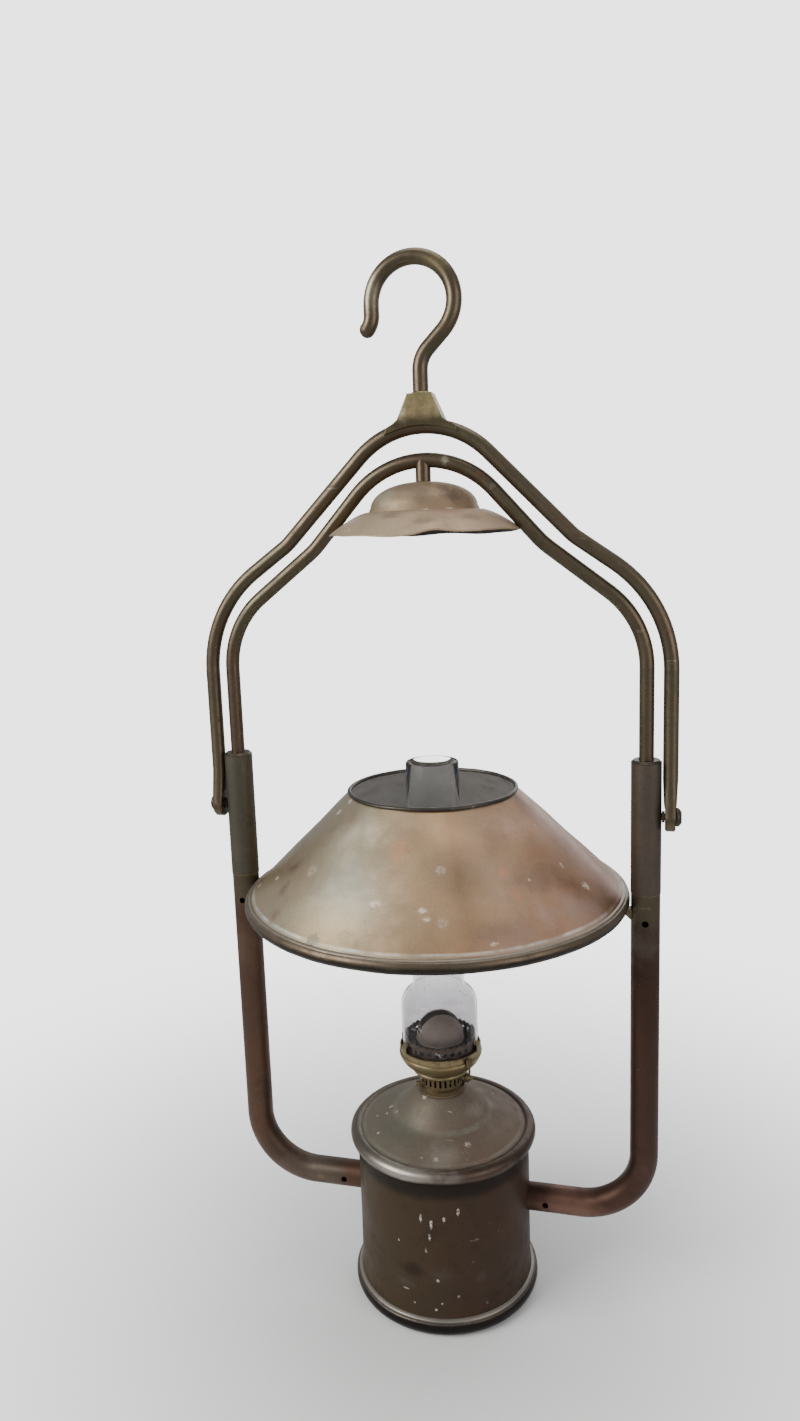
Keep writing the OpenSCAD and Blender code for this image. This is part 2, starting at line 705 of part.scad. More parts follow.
module wick_slot(extra, low_z, top_z) {
  translate([0, 0, (low_z + top_z) / 2])
    cube([wick_case_w + extra, wick_case_t + extra, top_z - low_z], center = true);
}

// A bar along the spindle's line, from x1 to x2
module spindle_bar(r, x1, x2) {
  translate([x1, spindle_y, spindle_z]) rotate([0, 90, 0]) cylinder(r = r, h = x2 - x1);
}

module burner_base() {
  inner_r = drum_r - burner_sheet;
  slot_w = PI * drum_d / drum_slots * 0.42;
  slot_gap = 360 / drum_slots;
  color("#94825a") rotate([0, 0, burner_turn]) difference() {
    union() {
      pipe(spigot_r, spigot_r - 1, burner_z - collar_depth, burner_z + 0.2);
      pipe(burner_ring_d / 2, spigot_r - 1, burner_z, burner_z + burner_ring_h * 0.7);
      translate([0, 0, burner_z + burner_ring_h * 0.7]) difference() {
        cylinder(r1 = burner_ring_d / 2, r2 = drum_r, h = burner_ring_h * 0.3);
        translate([0, 0, -1]) cylinder(r = spigot_r - 1, h = burner_ring_h);
      }
      pipe(drum_r, inner_r, drum_z, bowl_z);
      translate([0, 0, burner_z]) cylinder(r = drum_r - 1, h = 1.2);
      for (side = [-1, 1])
        translate([side * (drum_r - 2), spindle_y, spindle_z]) rotate([0, 90, 0])
          cylinder(d = spindle_d + 2.4, h = 4.4, center = true);
    }
    for (i = [0 : drum_slots - 1])
      rotate([0, 0, (i + 0.5) * slot_gap])
        if (abs(sin((i + 0.5) * slot_gap) * drum_r - spindle_y) > 3.5)
          translate([drum_r, 0, drum_z + drum_h / 2 + 0.4])
            cube([4, slot_w, drum_h - 3], center = true);
    wick_slot(2 * braze_gap, burner_z - 1, burner_z + 2);
    spindle_bar(spindle_d / 2 + run_gap, -2 * drum_r, 2 * drum_r);
  }
}

module burner_gallery() {
  t = burner_sheet;
  low_r = drum_r + 4.4;
  outside = [[drum_r - 1, bowl_z + braze_gap], [low_r, bowl_z + braze_gap],
             [low_r + 1, bowl_z + 1.2], [low_r + 2.4, bowl_z + 3.4],
             [low_r + 4.6, bowl_z + 5], [gallery_r - 3, bowl_z + gallery_h * 0.45],
             [gallery_r - 0.7, bowl_z + gallery_h * 0.6], [gallery_r, seat_z - 2 * t - 0.1],
             [gallery_r, gallery_top_z]];
  function shrunk(p) = [for (i = [len(p) - 1 : -1 : 0])
                        [i == 0 ? p[i][0] : p[i][0] - t, i > len(p) - 2 ? p[i][1] : p[i][1] + t]];
  finger_h = 7;
  finger_w = 6;
  color("#9a8a5e") {
    rotate_extrude() polygon(concat(outside, shrunk(outside)));
    for (a = [-10, 40, 170, 220])
      intersection() {
        rotate([0, 0, a]) translate([gallery_r, 0, gallery_top_z + finger_h / 2 - 1])
          cube([2 * gallery_r * 0.2, finger_w, finger_h + 2], center = true);
        pipe(gallery_r, gallery_r - t, gallery_top_z - 2, gallery_top_z + finger_h);
      }
  }
}

// A small catch on the gallery's band, with a bead to pull it by
module gallery_catch() {
  plate_t = 1.6;
  ball_z = bowl_z + gallery_h * 0.26;
  color("#94825a") rotate([0, 0, catch_turn]) translate([gallery_r + braze_gap, 0, 0]) {
    translate([0, -catch_w / 2, seat_z - catch_w / 2]) cube([plate_t, catch_w, catch_w]);
    translate([plate_t / 2, 0, ball_z]) cylinder(d = plate_t, h = seat_z - ball_z);
    translate([plate_t / 2, 0, ball_z]) sphere(d = catch_ball_d, $fn = 48);
  }
}

// The perforated ring inside the chimney, with a flat seat for the glass and a toothed edge
module burner_crown() {
  teeth = 36;
  holes = 20;
  seat_out_r = gallery_r - burner_sheet - braze_gap;
  color("#5c5146") difference() {
    union() {
      pipe(crown_r, crown_r - 0.8, seat_z - burner_sheet, seat_z + crown_h);
      pipe(seat_out_r, crown_r - 0.8, seat_z - burner_sheet, seat_z);
    }
    for (i = [0 : teeth - 1])
      rotate([0, 0, i * 360 / teeth]) translate([crown_r, 0, seat_z + crown_h])
        rotate([45, 0, 0]) cube([4, 1.9, 1.9], center = true);
    for (i = [0 : holes - 1])
      rotate([0, 0, i * 360 / holes]) translate([crown_r - 3, 0, seat_z + 3.2])
        rotate([0, 90, 0]) cylinder(d = 2.6, h = 6, $fn = 24);
  }
}

module flame_deflector() {
  skirt_r = crown_r - 0.8 - loose_gap;
  foot_z = seat_z - burner_sheet;
  neck_h = dome_z - foot_z - 2;
  t = 0.8;
  color("#6a5d50") rotate([0, 0, burner_turn]) difference() {
    union() {
      translate([0, 0, dome_z]) sphere(dome_r);
      translate([0, 0, dome_z - 2]) cylinder(r = dome_r, h = 2);
      translate([0, 0, foot_z]) cylinder(r1 = skirt_r, r2 = dome_r, h = neck_h);
    }
    translate([0, 0, dome_z]) sphere(dome_r - t);
    translate([0, 0, foot_z - dome_r]) cylinder(r = skirt_r + 1, h = dome_r);
    translate([0, 0, dome_z - 2 - t]) cylinder(r = dome_r - t, h = 2 + t);
    translate([0, 0, foot_z - 1]) cylinder(r1 = skirt_r - t + 1, r2 = dome_r - t, h = neck_h + 1 - t);
    translate([0, 0, dome_z + dome_r + 3]) cube([2 * dome_r, flame_slot_w, 2 * dome_r], center = true);
  }
}

module wick_tube() {
  window_h = 2 * sqrt(2 * spur_r * 2);
  color("#857754") rotate([0, 0, burner_turn]) difference() {
    wick_slot(0, wick_case_z, wick_case_top_z);
    translate([0, 0, (wick_case_z + wick_case_top_z) / 2])
      cube([wick_w + 2 * tube_gap, wick_t + 2 * tube_gap, 2 * chimney_h], center = true);
    for (i = [-1 : 1])
      translate([i * spur_pitch, -wick_case_t / 2, spindle_z])
        cube([spur_t + 2 * loose_gap, wick_case_t, window_h], center = true);
  }
}

module wick() {
  color("#b9ab8c") rotate([0, 0, burner_turn])
    translate([-wick_w / 2, -wick_t / 2, wick_low_z])
      cube([wick_w, wick_t, wick_top_z - wick_low_z]);
}

module wick_spindle() {
  color("#8b7b52") rotate([0, 0, burner_turn]) {
    spindle_bar(spindle_d / 2, -spindle_end, spindle_end);
    spindle_bar(spindle_d / 2 + 0.7, -spindle_end - 1.2, -spindle_end);
  }
}

// Toothed wheels on the spindle that bite into the wick through the tube's windows
module wick_spurs() {
  points = 12;
  color("#7c6c48") rotate([0, 0, burner_turn]) for (i = [-1 : 1])
    translate([i * spur_pitch - spur_t / 2, spindle_y, spindle_z]) rotate([0, 90, 0])
      difference() {
        linear_extrude(spur_t)
          polygon([for (k = [0 : 2 * points - 1])
                   (k % 2 == 0 ? spur_r : spur_r - 0.9) * [cos(k * 180 / points), sin(k * 180 / points)]]);
        translate([0, 0, -1]) cylinder(d = spindle_d + 2 * braze_gap, h = spur_t + 2);
      }
}

module wick_knob() {
  low_x = spindle_end - knob_t + 1;
  color("#a08a68") rotate([0, 0, burner_turn]) difference() {
    union() {
      spindle_bar(knob_d / 2, low_x + 0.8, low_x + knob_t - 0.8);
      spindle_bar(knob_d / 2 - 0.8, low_x, low_x + knob_t);
    }
    spindle_bar(spindle_d / 2 + braze_gap, 0, spindle_end + braze_gap);
  }
}

// --- Chimney ---

module chimney() {
  low_z = seat_z + 0.1;
  bulb_r = bulb_d / 2;
  flue_r = flue_d / 2;
  step = bulb_r - flue_r;
  shoulder_r = 1.5 * step;
  neck = low_z + bulb_h;
  shoulder = [for (a = [20 : 14 : 62]) [bulb_r - shoulder_r * (1 - cos(a)), neck + shoulder_r * sin(a)]];
  outside = concat([[bulb_r, low_z], [bulb_r, neck]], shoulder,
                   [[flue_r + step * 0.05, neck + shoulder_h * 0.76], [flue_r, neck + shoulder_h],
                    [flue_r, low_z + chimney_h]]);
  inside = [for (i = [len(outside) - 1 : -1 : 0]) outside[i] - [glass_t, 0]];
  color("#cfd4d2", 0.35) rotate_extrude() polygon(concat(outside, inside));
}

hook();
hook_saddle();
outer_bail();
pivot_rivet_left();
pivot_rivet_right();
pivot_washer_left();
pivot_washer_right();
inner_bow();
bell_stem();
smoke_bell();
sleeve_plug_left();
sleeve_plug_right();
sleeve_left();
sleeve_right();
tube_spigot_left();
tube_spigot_right();
lower_tube_left();
lower_tube_right();
font_stub_left();
font_stub_right();
shade_cone();
shade_rim();
shade_top_rim();
shade_lug_left();
shade_lug_right();
font_body();
font_base();
font_foot_ring();
font_top_ring();
font_lid();
filler_collar();
burner_base();
burner_gallery();
gallery_catch();
burner_crown();
flame_deflector();
wick_tube();
wick();
wick_spindle();
wick_spurs();
wick_knob();
chimney();
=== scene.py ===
import bpy
import math
from mathutils import Matrix, Vector, noise


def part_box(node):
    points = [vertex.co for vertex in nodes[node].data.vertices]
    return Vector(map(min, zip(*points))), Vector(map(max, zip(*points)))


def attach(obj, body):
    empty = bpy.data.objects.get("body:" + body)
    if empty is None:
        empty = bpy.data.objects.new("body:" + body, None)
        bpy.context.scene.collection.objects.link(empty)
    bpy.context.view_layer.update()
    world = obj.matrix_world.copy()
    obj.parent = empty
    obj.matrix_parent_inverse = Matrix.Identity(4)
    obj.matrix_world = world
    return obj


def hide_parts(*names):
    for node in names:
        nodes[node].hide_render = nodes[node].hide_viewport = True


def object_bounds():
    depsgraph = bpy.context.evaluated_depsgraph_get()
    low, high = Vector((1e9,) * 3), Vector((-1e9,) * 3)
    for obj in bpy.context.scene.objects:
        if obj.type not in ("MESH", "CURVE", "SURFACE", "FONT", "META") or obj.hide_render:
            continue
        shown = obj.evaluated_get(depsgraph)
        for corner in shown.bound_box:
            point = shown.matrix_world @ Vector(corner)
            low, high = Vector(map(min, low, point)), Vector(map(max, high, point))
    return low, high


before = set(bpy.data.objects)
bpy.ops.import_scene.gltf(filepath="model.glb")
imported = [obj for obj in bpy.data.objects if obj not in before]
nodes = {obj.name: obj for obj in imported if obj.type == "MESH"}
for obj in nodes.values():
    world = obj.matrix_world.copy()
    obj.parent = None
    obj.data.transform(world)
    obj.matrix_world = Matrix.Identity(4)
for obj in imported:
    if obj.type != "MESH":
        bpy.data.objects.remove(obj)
cadLow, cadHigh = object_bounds()  # the box that the solids fill
noise.seed_set(7)  # the same waves each time
print("frame loaded,", len(nodes), "nodes")


# small helpers for picking and shaping
def mode(kind):
    bpy.ops.object.mode_set(mode=kind)


def calm():
    if bpy.context.mode != "OBJECT":
        mode("OBJECT")
    bpy.ops.object.select_all(action="DESELECT")


def pickOnly(piece):
    calm()
    piece.select_set(True)
    bpy.context.view_layer.objects.active = piece


def fixPlace():
    # place, turn and size go into the mesh
    bpy.ops.object.transform_apply(location=True, rotation=True, scale=True)


def editAll():
    mode("EDIT")
    bpy.ops.mesh.select_all(action="SELECT")


def pickParts(piece, kind, wanted):
    # edit mode, with only the wanted points, edges or faces picked
    mode("EDIT")
    bpy.ops.mesh.select_all(action="DESELECT")
    mode("OBJECT")
    for part in getattr(piece.data, kind):
        part.select = wanted(part)
    mode("EDIT")


def cleaned(piece, sharp, outwards=True):
    # doubles are merged, faces turned outwards and shaded
    editAll()
    bpy.ops.mesh.remove_doubles(threshold=0.000002)
    if outwards:
        bpy.ops.mesh.normals_make_consistent(inside=False)
    mode("OBJECT")
    bpy.ops.object.shade_smooth_by_angle(angle=math.radians(sharp))
    return piece


def settle(piece, sharp):
    pickOnly(piece)
    fixPlace()
    return cleaned(piece, sharp)


def applyAll(piece):
    pickOnly(piece)
    for step in list(piece.modifiers):
        bpy.ops.object.modifier_apply(modifier=step.name)


def soften(piece, width, segments=2, angle=40):
    edge = piece.modifiers.new("softEdge", "BEVEL")
    edge.width, edge.segments = width, segments
    edge.limit_method, edge.angle_limit = "ANGLE", math.radians(angle)
    applyAll(piece)


def carved(piece, cutter):
    cut = piece.modifiers.new("cut", "BOOLEAN")
    cut.operation, cut.object, cut.solver = "DIFFERENCE", cutter, "EXACT"
    applyAll(piece)
    bpy.data.objects.remove(cutter)


def cubeOf(name, at, size):
    calm()
    bpy.ops.mesh.primitive_cube_add(size=1, location=at, scale=size)
    fixPlace()
    bpy.context.object.name = name
    return bpy.context.object


def drawOut(shift, size, **centre):
    # the picked part grows new faces and is widened or narrowed
    bpy.ops.mesh.extrude_region_move(TRANSFORM_OT_translate={"value": shift})
    bpy.ops.transform.resize(value=size, **centre)


def turned(name, outline, around=128, sharp=35):
    # a ring is drawn out and widened from point to point of the outline, like work on a lathe
    calm()
    r, z = outline[0]
    tiny = 0.00004
    bpy.ops.mesh.primitive_circle_add(vertices=around, radius=max(r, tiny), location=(0, 0, z))
    piece = bpy.context.object
    piece.name = name
    fixPlace()
    editAll()
    for nextR, nextZ in outline[1:]:
        widen = max(nextR, tiny) / max(r, tiny)
        drawOut((0, 0, nextZ - z), (widen, widen, 1), center_override=(0, 0, nextZ))
        r, z = nextR, nextZ
    for endR, endZ in (outline[0], outline[-1]):
        if endR <= tiny:  # a pole is closed to one point
            pickParts(piece, "vertices", lambda v: abs(v.co.z - endZ) < 1e-7 and v.co.xy.length < tiny * 1.5)
            bpy.ops.mesh.merge(type="CENTER")
    return settle(piece, sharp)


def flowing(points, per=6):
    # a smooth line through the points
    ends = [points[0], *points, points[-1]]
    line = []
    for i in range(1, len(ends) - 2):
        a, b, c, d = (Vector(p) for p in ends[i - 1:i + 3])
        for k in range(per):
            t = k / per
            p = 0.5 * (2 * b + (c - a) * t + (2 * a - 5 * b + 4 * c - d) * t ** 2
                       + (3 * b - a - 3 * c + d) * t ** 3)
            line.append((p.x, p.y))
    line.append(tuple(points[-1]))
    return line


def rounded(points, radius, per=4):
    # the corners of an open outline are turned over a small radius
    line = [points[0]]
    for before, p, after in zip(points, points[1:], points[2:]):
        before, p, after = Vector(before), Vector(p), Vector(after)
        reach = min(radius, (before - p).length * 0.45, (after - p).length * 0.45)
        a = p + (before - p).normalized() * reach
        b = p + (after - p).normalized() * reach
        for k in range(per + 1):
            t = k / per
            q = a * (1 - t) ** 2 + p * 2 * t * (1 - t) + b * t ** 2
            line.append((q.x, q.y))
    return line + [points[-1]]


def cosOf(angle):
    return math.cos(math.radians(angle))


def sinOf(angle):
    return math.sin(math.radians(angle))


def clamped(share):
    return max(0.0, min(1.0, share))


def arcLine(x, z, r, start, end, per=12):
    angles = [start + (end - start) * k / per for k in range(per + 1)]
    return [(x + r * cosOf(a), z + r * sinOf(a)) for a in angles]


def onRound(radius, angle, z):
    return (radius * cosOf(angle), radius * sinOf(angle), z)


def stretched(points, step):
    # extra points along straight runs, so that dents have something to move
    line = [points[0]]
    for p in points[1:]:
        a, b = Vector(line[-1]), Vector(p)
        parts = max(1, round((b - a).length / step))
        line += [tuple(a.lerp(b, k / parts)) for k in range(1, parts + 1)]
    return line


def shell(line, acrossBy, upBy):
    # an outline, its moved copy on the way back, and the first point again
    return line + [(r + acrossBy, z + upBy) for r, z in reversed(line)] + [line[0]]


def unevenly(piece, size, depth, seed, keep=lambda co: 1.0):
    # slow hand-beaten waves; keep(co) tells how much a point may move
    for v in piece.data.vertices:
        v.co += noise.noise_vector((v.co + Vector((seed, seed * 0.7, 0))) / size) * depth * keep(v.co)


def dented(piece, places):
    # each place is (centre, reach, push)
    for centre, reach, push in places:
        for v in piece.data.vertices:
            d = (v.co - Vector(centre)).length / reach
            if d < 1:
                v.co += Vector(push) * (1 - d * d) ** 2


def spun(piece, angle, axis="Z"):
    piece.data.transform(Matrix.Rotation(math.radians(angle), 4, axis))


def joined(name, pieces):
    calm()
    for p in pieces:
        p.select_set(True)
    bpy.context.view_layer.objects.active = pieces[0]
    bpy.ops.object.join()
    pieces[0].name = name
    return pieces[0]


def place(piece, body, slot, replaced, *finishes):
    piece.data.materials.clear()
    for finish in finishes:
        piece.data.materials.append(finish)
    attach(piece, body)
    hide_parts(replaced)


def placeCopy(name, node, sharp, body, slot, finish):
    # a merged copy of a solid stands in for it, with clean shading
    piece = nodes[node].copy()
    piece.name = name
    piece.data = nodes[node].data.copy()
    for key in list(piece.keys()):
        del piece[key]
    piece.parent = None
    bpy.context.scene.collection.objects.link(piece)
    pickOnly(piece)
    if piece.data.has_custom_normals:
        bpy.ops.mesh.customdata_custom_splitnormals_clear()
    place(cleaned(piece, sharp, False), body, slot, node, finish)


def dress(finish, *names):
    for name in names:
        data = nodes[name].data
        data.materials.clear()
        data.materials.append(finish)


# knots of the materials
def knot(tree, kind, **settings):
    made = tree.nodes.new(kind)
    for key, value in settings.items():
        if key in made.inputs:
            made.inputs[key].default_value = value
        else:
            setattr(made, key, value)
    return made


def tie(a, b):
    a.id_data.links.new(a, b)


def feed(socket, value):
    # a socket takes an output, a number or a colour
    if hasattr(value, "node"):
        tie(value, socket)
    elif isinstance(value, (int, float)):
        socket.default_value = value
    else:
        socket.default_value = (*value, 1)


def treeOf(*values):
    return next(value.id_data for value in values if hasattr(value, "node"))


def noiseOf(place, scale, detail=5, rough=0.6, bend=0.0):
    n = knot(place.id_data, "ShaderNodeTexNoise", Scale=scale, Detail=detail, Roughness=rough, Distortion=bend)
    tie(place, n.inputs["Vector"])
    return n.outputs["Fac"]


def cellsOf(place, scale):
    cells = knot(place.id_data, "ShaderNodeTexVoronoi", Scale=scale)
    tie(place, cells.inputs["Vector"])
    return cells.outputs["Distance"]


def ramp(value, low, high, first=0.0, last=1.0):
    # the value is eased from one range into another, and low may be above high
    if low > high:
        low, high, first, last = high, low, last, first
    r = knot(value.id_data, "ShaderNodeMapRange", interpolation_type="SMOOTHSTEP")
    for key, number in (("From Min", low), ("From Max", high), ("To Min", first), ("To Max", last)):
        r.inputs[key].default_value = number
    tie(value, r.inputs["Value"])
    return r.outputs["Result"]


def blendColour(share, a, b, how="MIX"):
    m = knot(treeOf(share, a, b), "ShaderNodeMix", data_type="RGBA", blend_type=how)
    for number, value in ((0, share), (6, a), (7, b)):
        feed(m.inputs[number], value)
    return m.outputs[2]


def sums(how, a, b):
    m = knot(treeOf(a, b), "ShaderNodeMath", operation=how)
    feed(m.inputs[0], a)
    feed(m.inputs[1], b)
    return m.outputs[0]


def plus(a, b):
    return sums("ADD", a, b)


def less(a, b):
    return sums("SUBTRACT", a, b)


def times(a, b):
    return sums("MULTIPLY", a, b)


def larger(a, b):
    return sums("MAXIMUM", a, b)


def partsOf(vector):
    split = knot(vector.id_data, "ShaderNodeSeparateXYZ")
    tie(vector, split.inputs[0])
    return split.outputs


def lengthOf(vector):
    m = knot(vector.id_data, "ShaderNodeVectorMath", operation="LENGTH")
    tie(vector, m.inputs[0])
    return m.outputs["Value"]


def scaledBy(vector, factor):
    m = knot(vector.id_data, "ShaderNodeVectorMath", operation="MULTIPLY")
    tie(vector, m.inputs[0])
    if hasattr(factor, "node"):
        tie(factor, m.inputs[1])
    else:
        m.inputs[1].default_value = factor
    return m.outputs[0]


def stretchedPlace(place, size, turn=(0, 0, 0), shift=(0, 0, 0)):
    m = knot(place.id_data, "ShaderNodeMapping", Scale=size, Rotation=turn, Location=shift)
    tie(place, m.inputs["Vector"])
    return m.outputs[0]


def nearMark(spot, centre, size, share, edge):
    # an uneven spot around a place, given by its half width and half height
    wide, tall = size
    shift = tuple(-c / s for c, s in zip(centre, (wide, wide, tall)))
    away = lengthOf(stretchedPlace(spot, (1 / wide, 1 / wide, 1 / tall), shift=shift))
    frayed = times(noiseOf(spot, 1.3 / max(size), 3, 0.65, 0.5), 1.5)
    reach = 1.75
    return ramp(plus(away, frayed), reach, reach - edge, 0, share)


def newFinish(name):
    finish = bpy.data.materials.new(name)
    finish.use_nodes = True
    tree = finish.node_tree
    tree.nodes.clear()
    skin = knot(tree, "ShaderNodeBsdfPrincipled")
    tie(skin.outputs[0], knot(tree, "ShaderNodeOutputMaterial").inputs[0])
    return finish, skin, knot(tree, "ShaderNodeTexCoord").outputs["Object"]


def raised(skin, height, strength, distance):
    bump = knot(height.id_data, "ShaderNodeBump", Strength=strength, Distance=distance)
    tie(height, bump.inputs["Height"])
    tie(bump.outputs[0], skin.inputs["Normal"])


# the three kinds of finish
def agedMetal(name, look):
    finish, skin, spot = newFinish(name)
    x, y, z = partsOf(spot)

    def mist(scale, detail, rough=0.6, bend=0.0):
        return noiseOf(spot, scale, detail, rough, bend)

    def paint(share, tint, how="MIX"):
        nonlocal colour
        colour = blendColour(share, colour, tint, how)

    # clouds of tarnish, then darker blotches inside them
    blotch = mist(look["cloud"] * 3.7, 8, 0.68, 0.3)
    colour = blendColour(ramp(mist(look["cloud"], 6, 0.62, 0.6), 0.36, 0.66), look["base"], look["warm"])
    paint(ramp(blotch, 0.52, 0.78, 0, look.get("blotch", 0.7)), look["dark"])
    paint(ramp(mist(look["cloud"] * 1.9, 7, 0.7, 0.2), 0.56, 0.8, 0, look.get("rub", 0.5)), look["pale"])

    if "streak" in look:  # thin runs down the sheet
        runs = noiseOf(stretchedPlace(spot, (1, 1, 0.06)), 120, 4, 0.6)
        paint(times(ramp(runs, 0.55, 0.75), ramp(mist(9, 3, 0.5), 0.42, 0.65, 0, look["streak"])), look["pale"])
    if "lean" in look:  # one side is tinted against the other, mostly lighter on the left and darker on the right: partly tarnish, partly painted light and painted reflection
        side = ramp(x, -look["width"], look["width"])
        paint(look["lean"], blendColour(side, look["leanLeft"], look["leanRight"]), "MULTIPLY")
    if "patch" in look:  # broad heat-coloured patches
        wide = noiseOf(stretchedPlace(spot, (1, 1, 0.55), (0.2, 0.1, 0.4)), look["patchSize"], 3, 0.55, 0.8)
        paint(ramp(wide, 0.53, 0.66, 0, look["patchShare"]), look["patch"])
    if "spots" in look:  # greenish or reddish freckles
        paint(ramp(mist(210, 4, 0.75), 0.66, 0.74, 0, look["spotShare"]), look["spots"])
    wander = less(mist(70, 4), 0.5)
    for start, full, tint, share in look.get("bands", []):
        # a colour that starts at one height and is full at another: braze colour and soot, and on rims and rolls
        # painted shade underneath and painted highlight on top
        level = plus(z, times(wander, abs(full - start) * 0.8))
        paint(ramp(level, start, full, 0, share), tint)
    if "hoops" in look:  # rings around the middle axis: rubbed lines, dark seams, and painted highlight along creases and edges
        reach = lengthOf(scaledBy(spot, (1, 1, 0)))
        patchy = ramp(wander, -0.12, 0.12, 0.25, 1)
        for radius, width, tint, share in look["hoops"]:
            away = sums("ABSOLUTE", less(reach, radius), 0)
            paint(times(ramp(away, width, width * 0.25, 0, share), patchy), tint)
    for centre, size, tint, share, edge in look.get("marks", []):  # patches that sit at one place: stains, and on some parts painted highlight or painted shade
        paint(nearMark(spot, centre, size, share, edge), tint)
    if "sweep" in look:  # painted reflection and shade: the colour changes around the middle axis like light reflected from the room
        turn = plus(sums("ARCTAN2", y, x), times(less(mist(22, 3), 0.5), 0.16))
        strip = knot(turn.id_data, "ShaderNodeValToRGB")
        stops = strip.color_ramp.elements
        brightest = 1.5
        for number, (angle, tint) in enumerate(look["sweep"]):
            at = (angle + 180) / 360
            stop = stops[number] if number < 2 else stops.new(at)
            stop.position, stop.color = at, (*(part / brightest for part in tint), 1)
        tie(plus(times(turn, 0.5 / math.pi), 0.5), strip.inputs[0])
        colour = scaledBy(scaledBy(colour, strip.outputs[0]), (brightest, brightest, brightest))
    grain = mist(900, 3, 0.7)
    tone = knot(grain.id_data, "ShaderNodeHueSaturation")
    tie(colour, tone.inputs["Color"])
    tie(ramp(grain, 0.3, 0.7, 0.93, 1.07), tone.inputs["Value"])
    colour = tone.outputs[0]

    rough = ramp(blotch, 0.3, 0.75, look["rough"] - 0.07, look["rough"] + 0.12)
    height = plus(times(grain, 0.25), times(blotch, 0.9))

    # fine scratches in two directions
    for turn, cut in (((0.5, 0.9, 0.3), 0.71), ((1.3, -0.4, 1.1), 0.73)):
        lines = noiseOf(stretchedPlace(spot, (5, 340, 340), turn), 1.0, 2, 0.5)
        where = ramp(mist(26, 3, 0.5), 0.5, 0.62, 0, look.get("scratch", 0.35))
        mark = times(ramp(lines, cut, cut + 0.03), where)
        paint(mark, look["bright"])
        height = less(height, times(mark, 0.4))

    metal = look["metal"]
    if "splash" in look:  # dried specks of pale paint or lime
        gateAt = look.get("splashGate", 0.52)
        gate = ramp(mist(15, 3), gateAt, gateAt + 0.08)
        speck = plus(cellsOf(spot, look["splash"]), times(mist(500, 2), 0.16))
        dripPlace = stretchedPlace(spot, (1, 1, look.get("dripLong", 0.4)), (0.12, 0.1, 0))
        drip = plus(cellsOf(dripPlace, look["splash"] * 0.6), times(mist(300, 3), 0.12))
        drops = larger(times(ramp(speck, 0.21, 0.17), gate), times(ramp(drip, 0.2, 0.16), gate))
        drops = times(drops, look.get("splashShare", 0.8))
        if "crusts" in look:  # drops that have a place of their own
            crumble = ramp(mist(520, 4, 0.75, 1.2), 0.4, 0.56)
            crust = None
            for centre, size, share in look["crusts"]:
                drop = times(nearMark(spot, centre, size, share, 0.6), crumble)
                crust = drop if crust is None else larger(crust, drop)
            drops = larger(drops, crust)
        paint(drops, (0.66, 0.61, 0.53))
        rough = plus(rough, times(drops, 0.35))
        height = plus(height, times(drops, 0.5))
        metal = less(metal, times(drops, metal))
    feed(skin.inputs["Metallic"], metal)
    tie(colour, skin.inputs["Base Color"])
    tie(rough, skin.inputs["Roughness"])
    skin.inputs["Specular IOR Level"].default_value = look.get("gloss", 0.4)
    raised(skin, height, look.get("bump", 0.22), 0.0006)
    return finish


def glassFinish(name, look):
    finish, skin, spot = newFinish(name)
    haze = noiseOf(spot, 30, 6, 0.65, 0.4)
    sooty = ramp(partsOf(spot)[2], look["sootTo"], look["sootFrom"])  # the bulb is dirtier than the flue
    glassTint = blendColour(ramp(haze, 0.35, 0.75), look["clear"], look["hazy"])
    glassTint = blendColour(sooty, glassTint, look["soot"], "MULTIPLY")
    flecksAndGlints = ramp(noiseOf(spot, 210, 3, 0.6, 0.8), 0.64, 0.72)  # dried drops on the outside
    flecksAndGlints = times(times(flecksAndGlints, ramp(noiseOf(spot, 38, 2, 0.5), 0.48, 0.58)), sooty)
    # painted glints: pale spots that stand in for highlights on the glass
    for centre, size, share in look["glints"]:
        flecksAndGlints = larger(flecksAndGlints, nearMark(spot, centre, size, share, 0.7))
    tie(blendColour(flecksAndGlints, glassTint, (0.95, 0.94, 0.92)), skin.inputs["Base Color"])
    tie(ramp(haze, 0.4, 0.8, 0, look["roughest"]), skin.inputs["Roughness"])
    tie(less(look["through"], times(flecksAndGlints, 0.55)), skin.inputs["Transmission Weight"])
    skin.inputs["IOR"].default_value = 1.14
    raised(skin, noiseOf(spot, 45, 2, 0.5), 0.12, 0.0008)
    return finish


def cottonFinish(name, look):
    finish, skin, spot = newFinish(name)
    alongWick = stretchedPlace(spot, (1, 1, 1), (0, 0, -math.radians(look["turn"])))
    weave = []
    for axis in ("X", "Z"):
        w = knot(spot.id_data, "ShaderNodeTexWave", Scale=look["threads"], Distortion=1.2, Detail=2,
                 wave_type="BANDS", bands_direction=axis)
        w.inputs["Detail Scale"].default_value = 2
        tie(alongWick, w.inputs["Vector"])
        weave.append(w.outputs["Fac"])
    cloth = times(*weave)
    colour = blendColour(ramp(cloth, 0, 0.8), look["shade"], look["thread"])
    colour = blendColour(ramp(noiseOf(spot, 60, 4, 0.6), 0.45, 0.7, 0, 0.7), colour, look["oil"])
    charred = ramp(partsOf(spot)[2], look["charFrom"], look["charTo"])
    tie(blendColour(charred, colour, look["char"]), skin.inputs["Base Color"])
    skin.inputs["Roughness"].default_value = 0.9
    raised(skin, cloth, 0.5, 0.0004)
    return finish


# looks
def placedOn(rows):
    return [(onRound(radius, angle, z), (wide, tall), share) for radius, angle, z, wide, tall, share in rows]


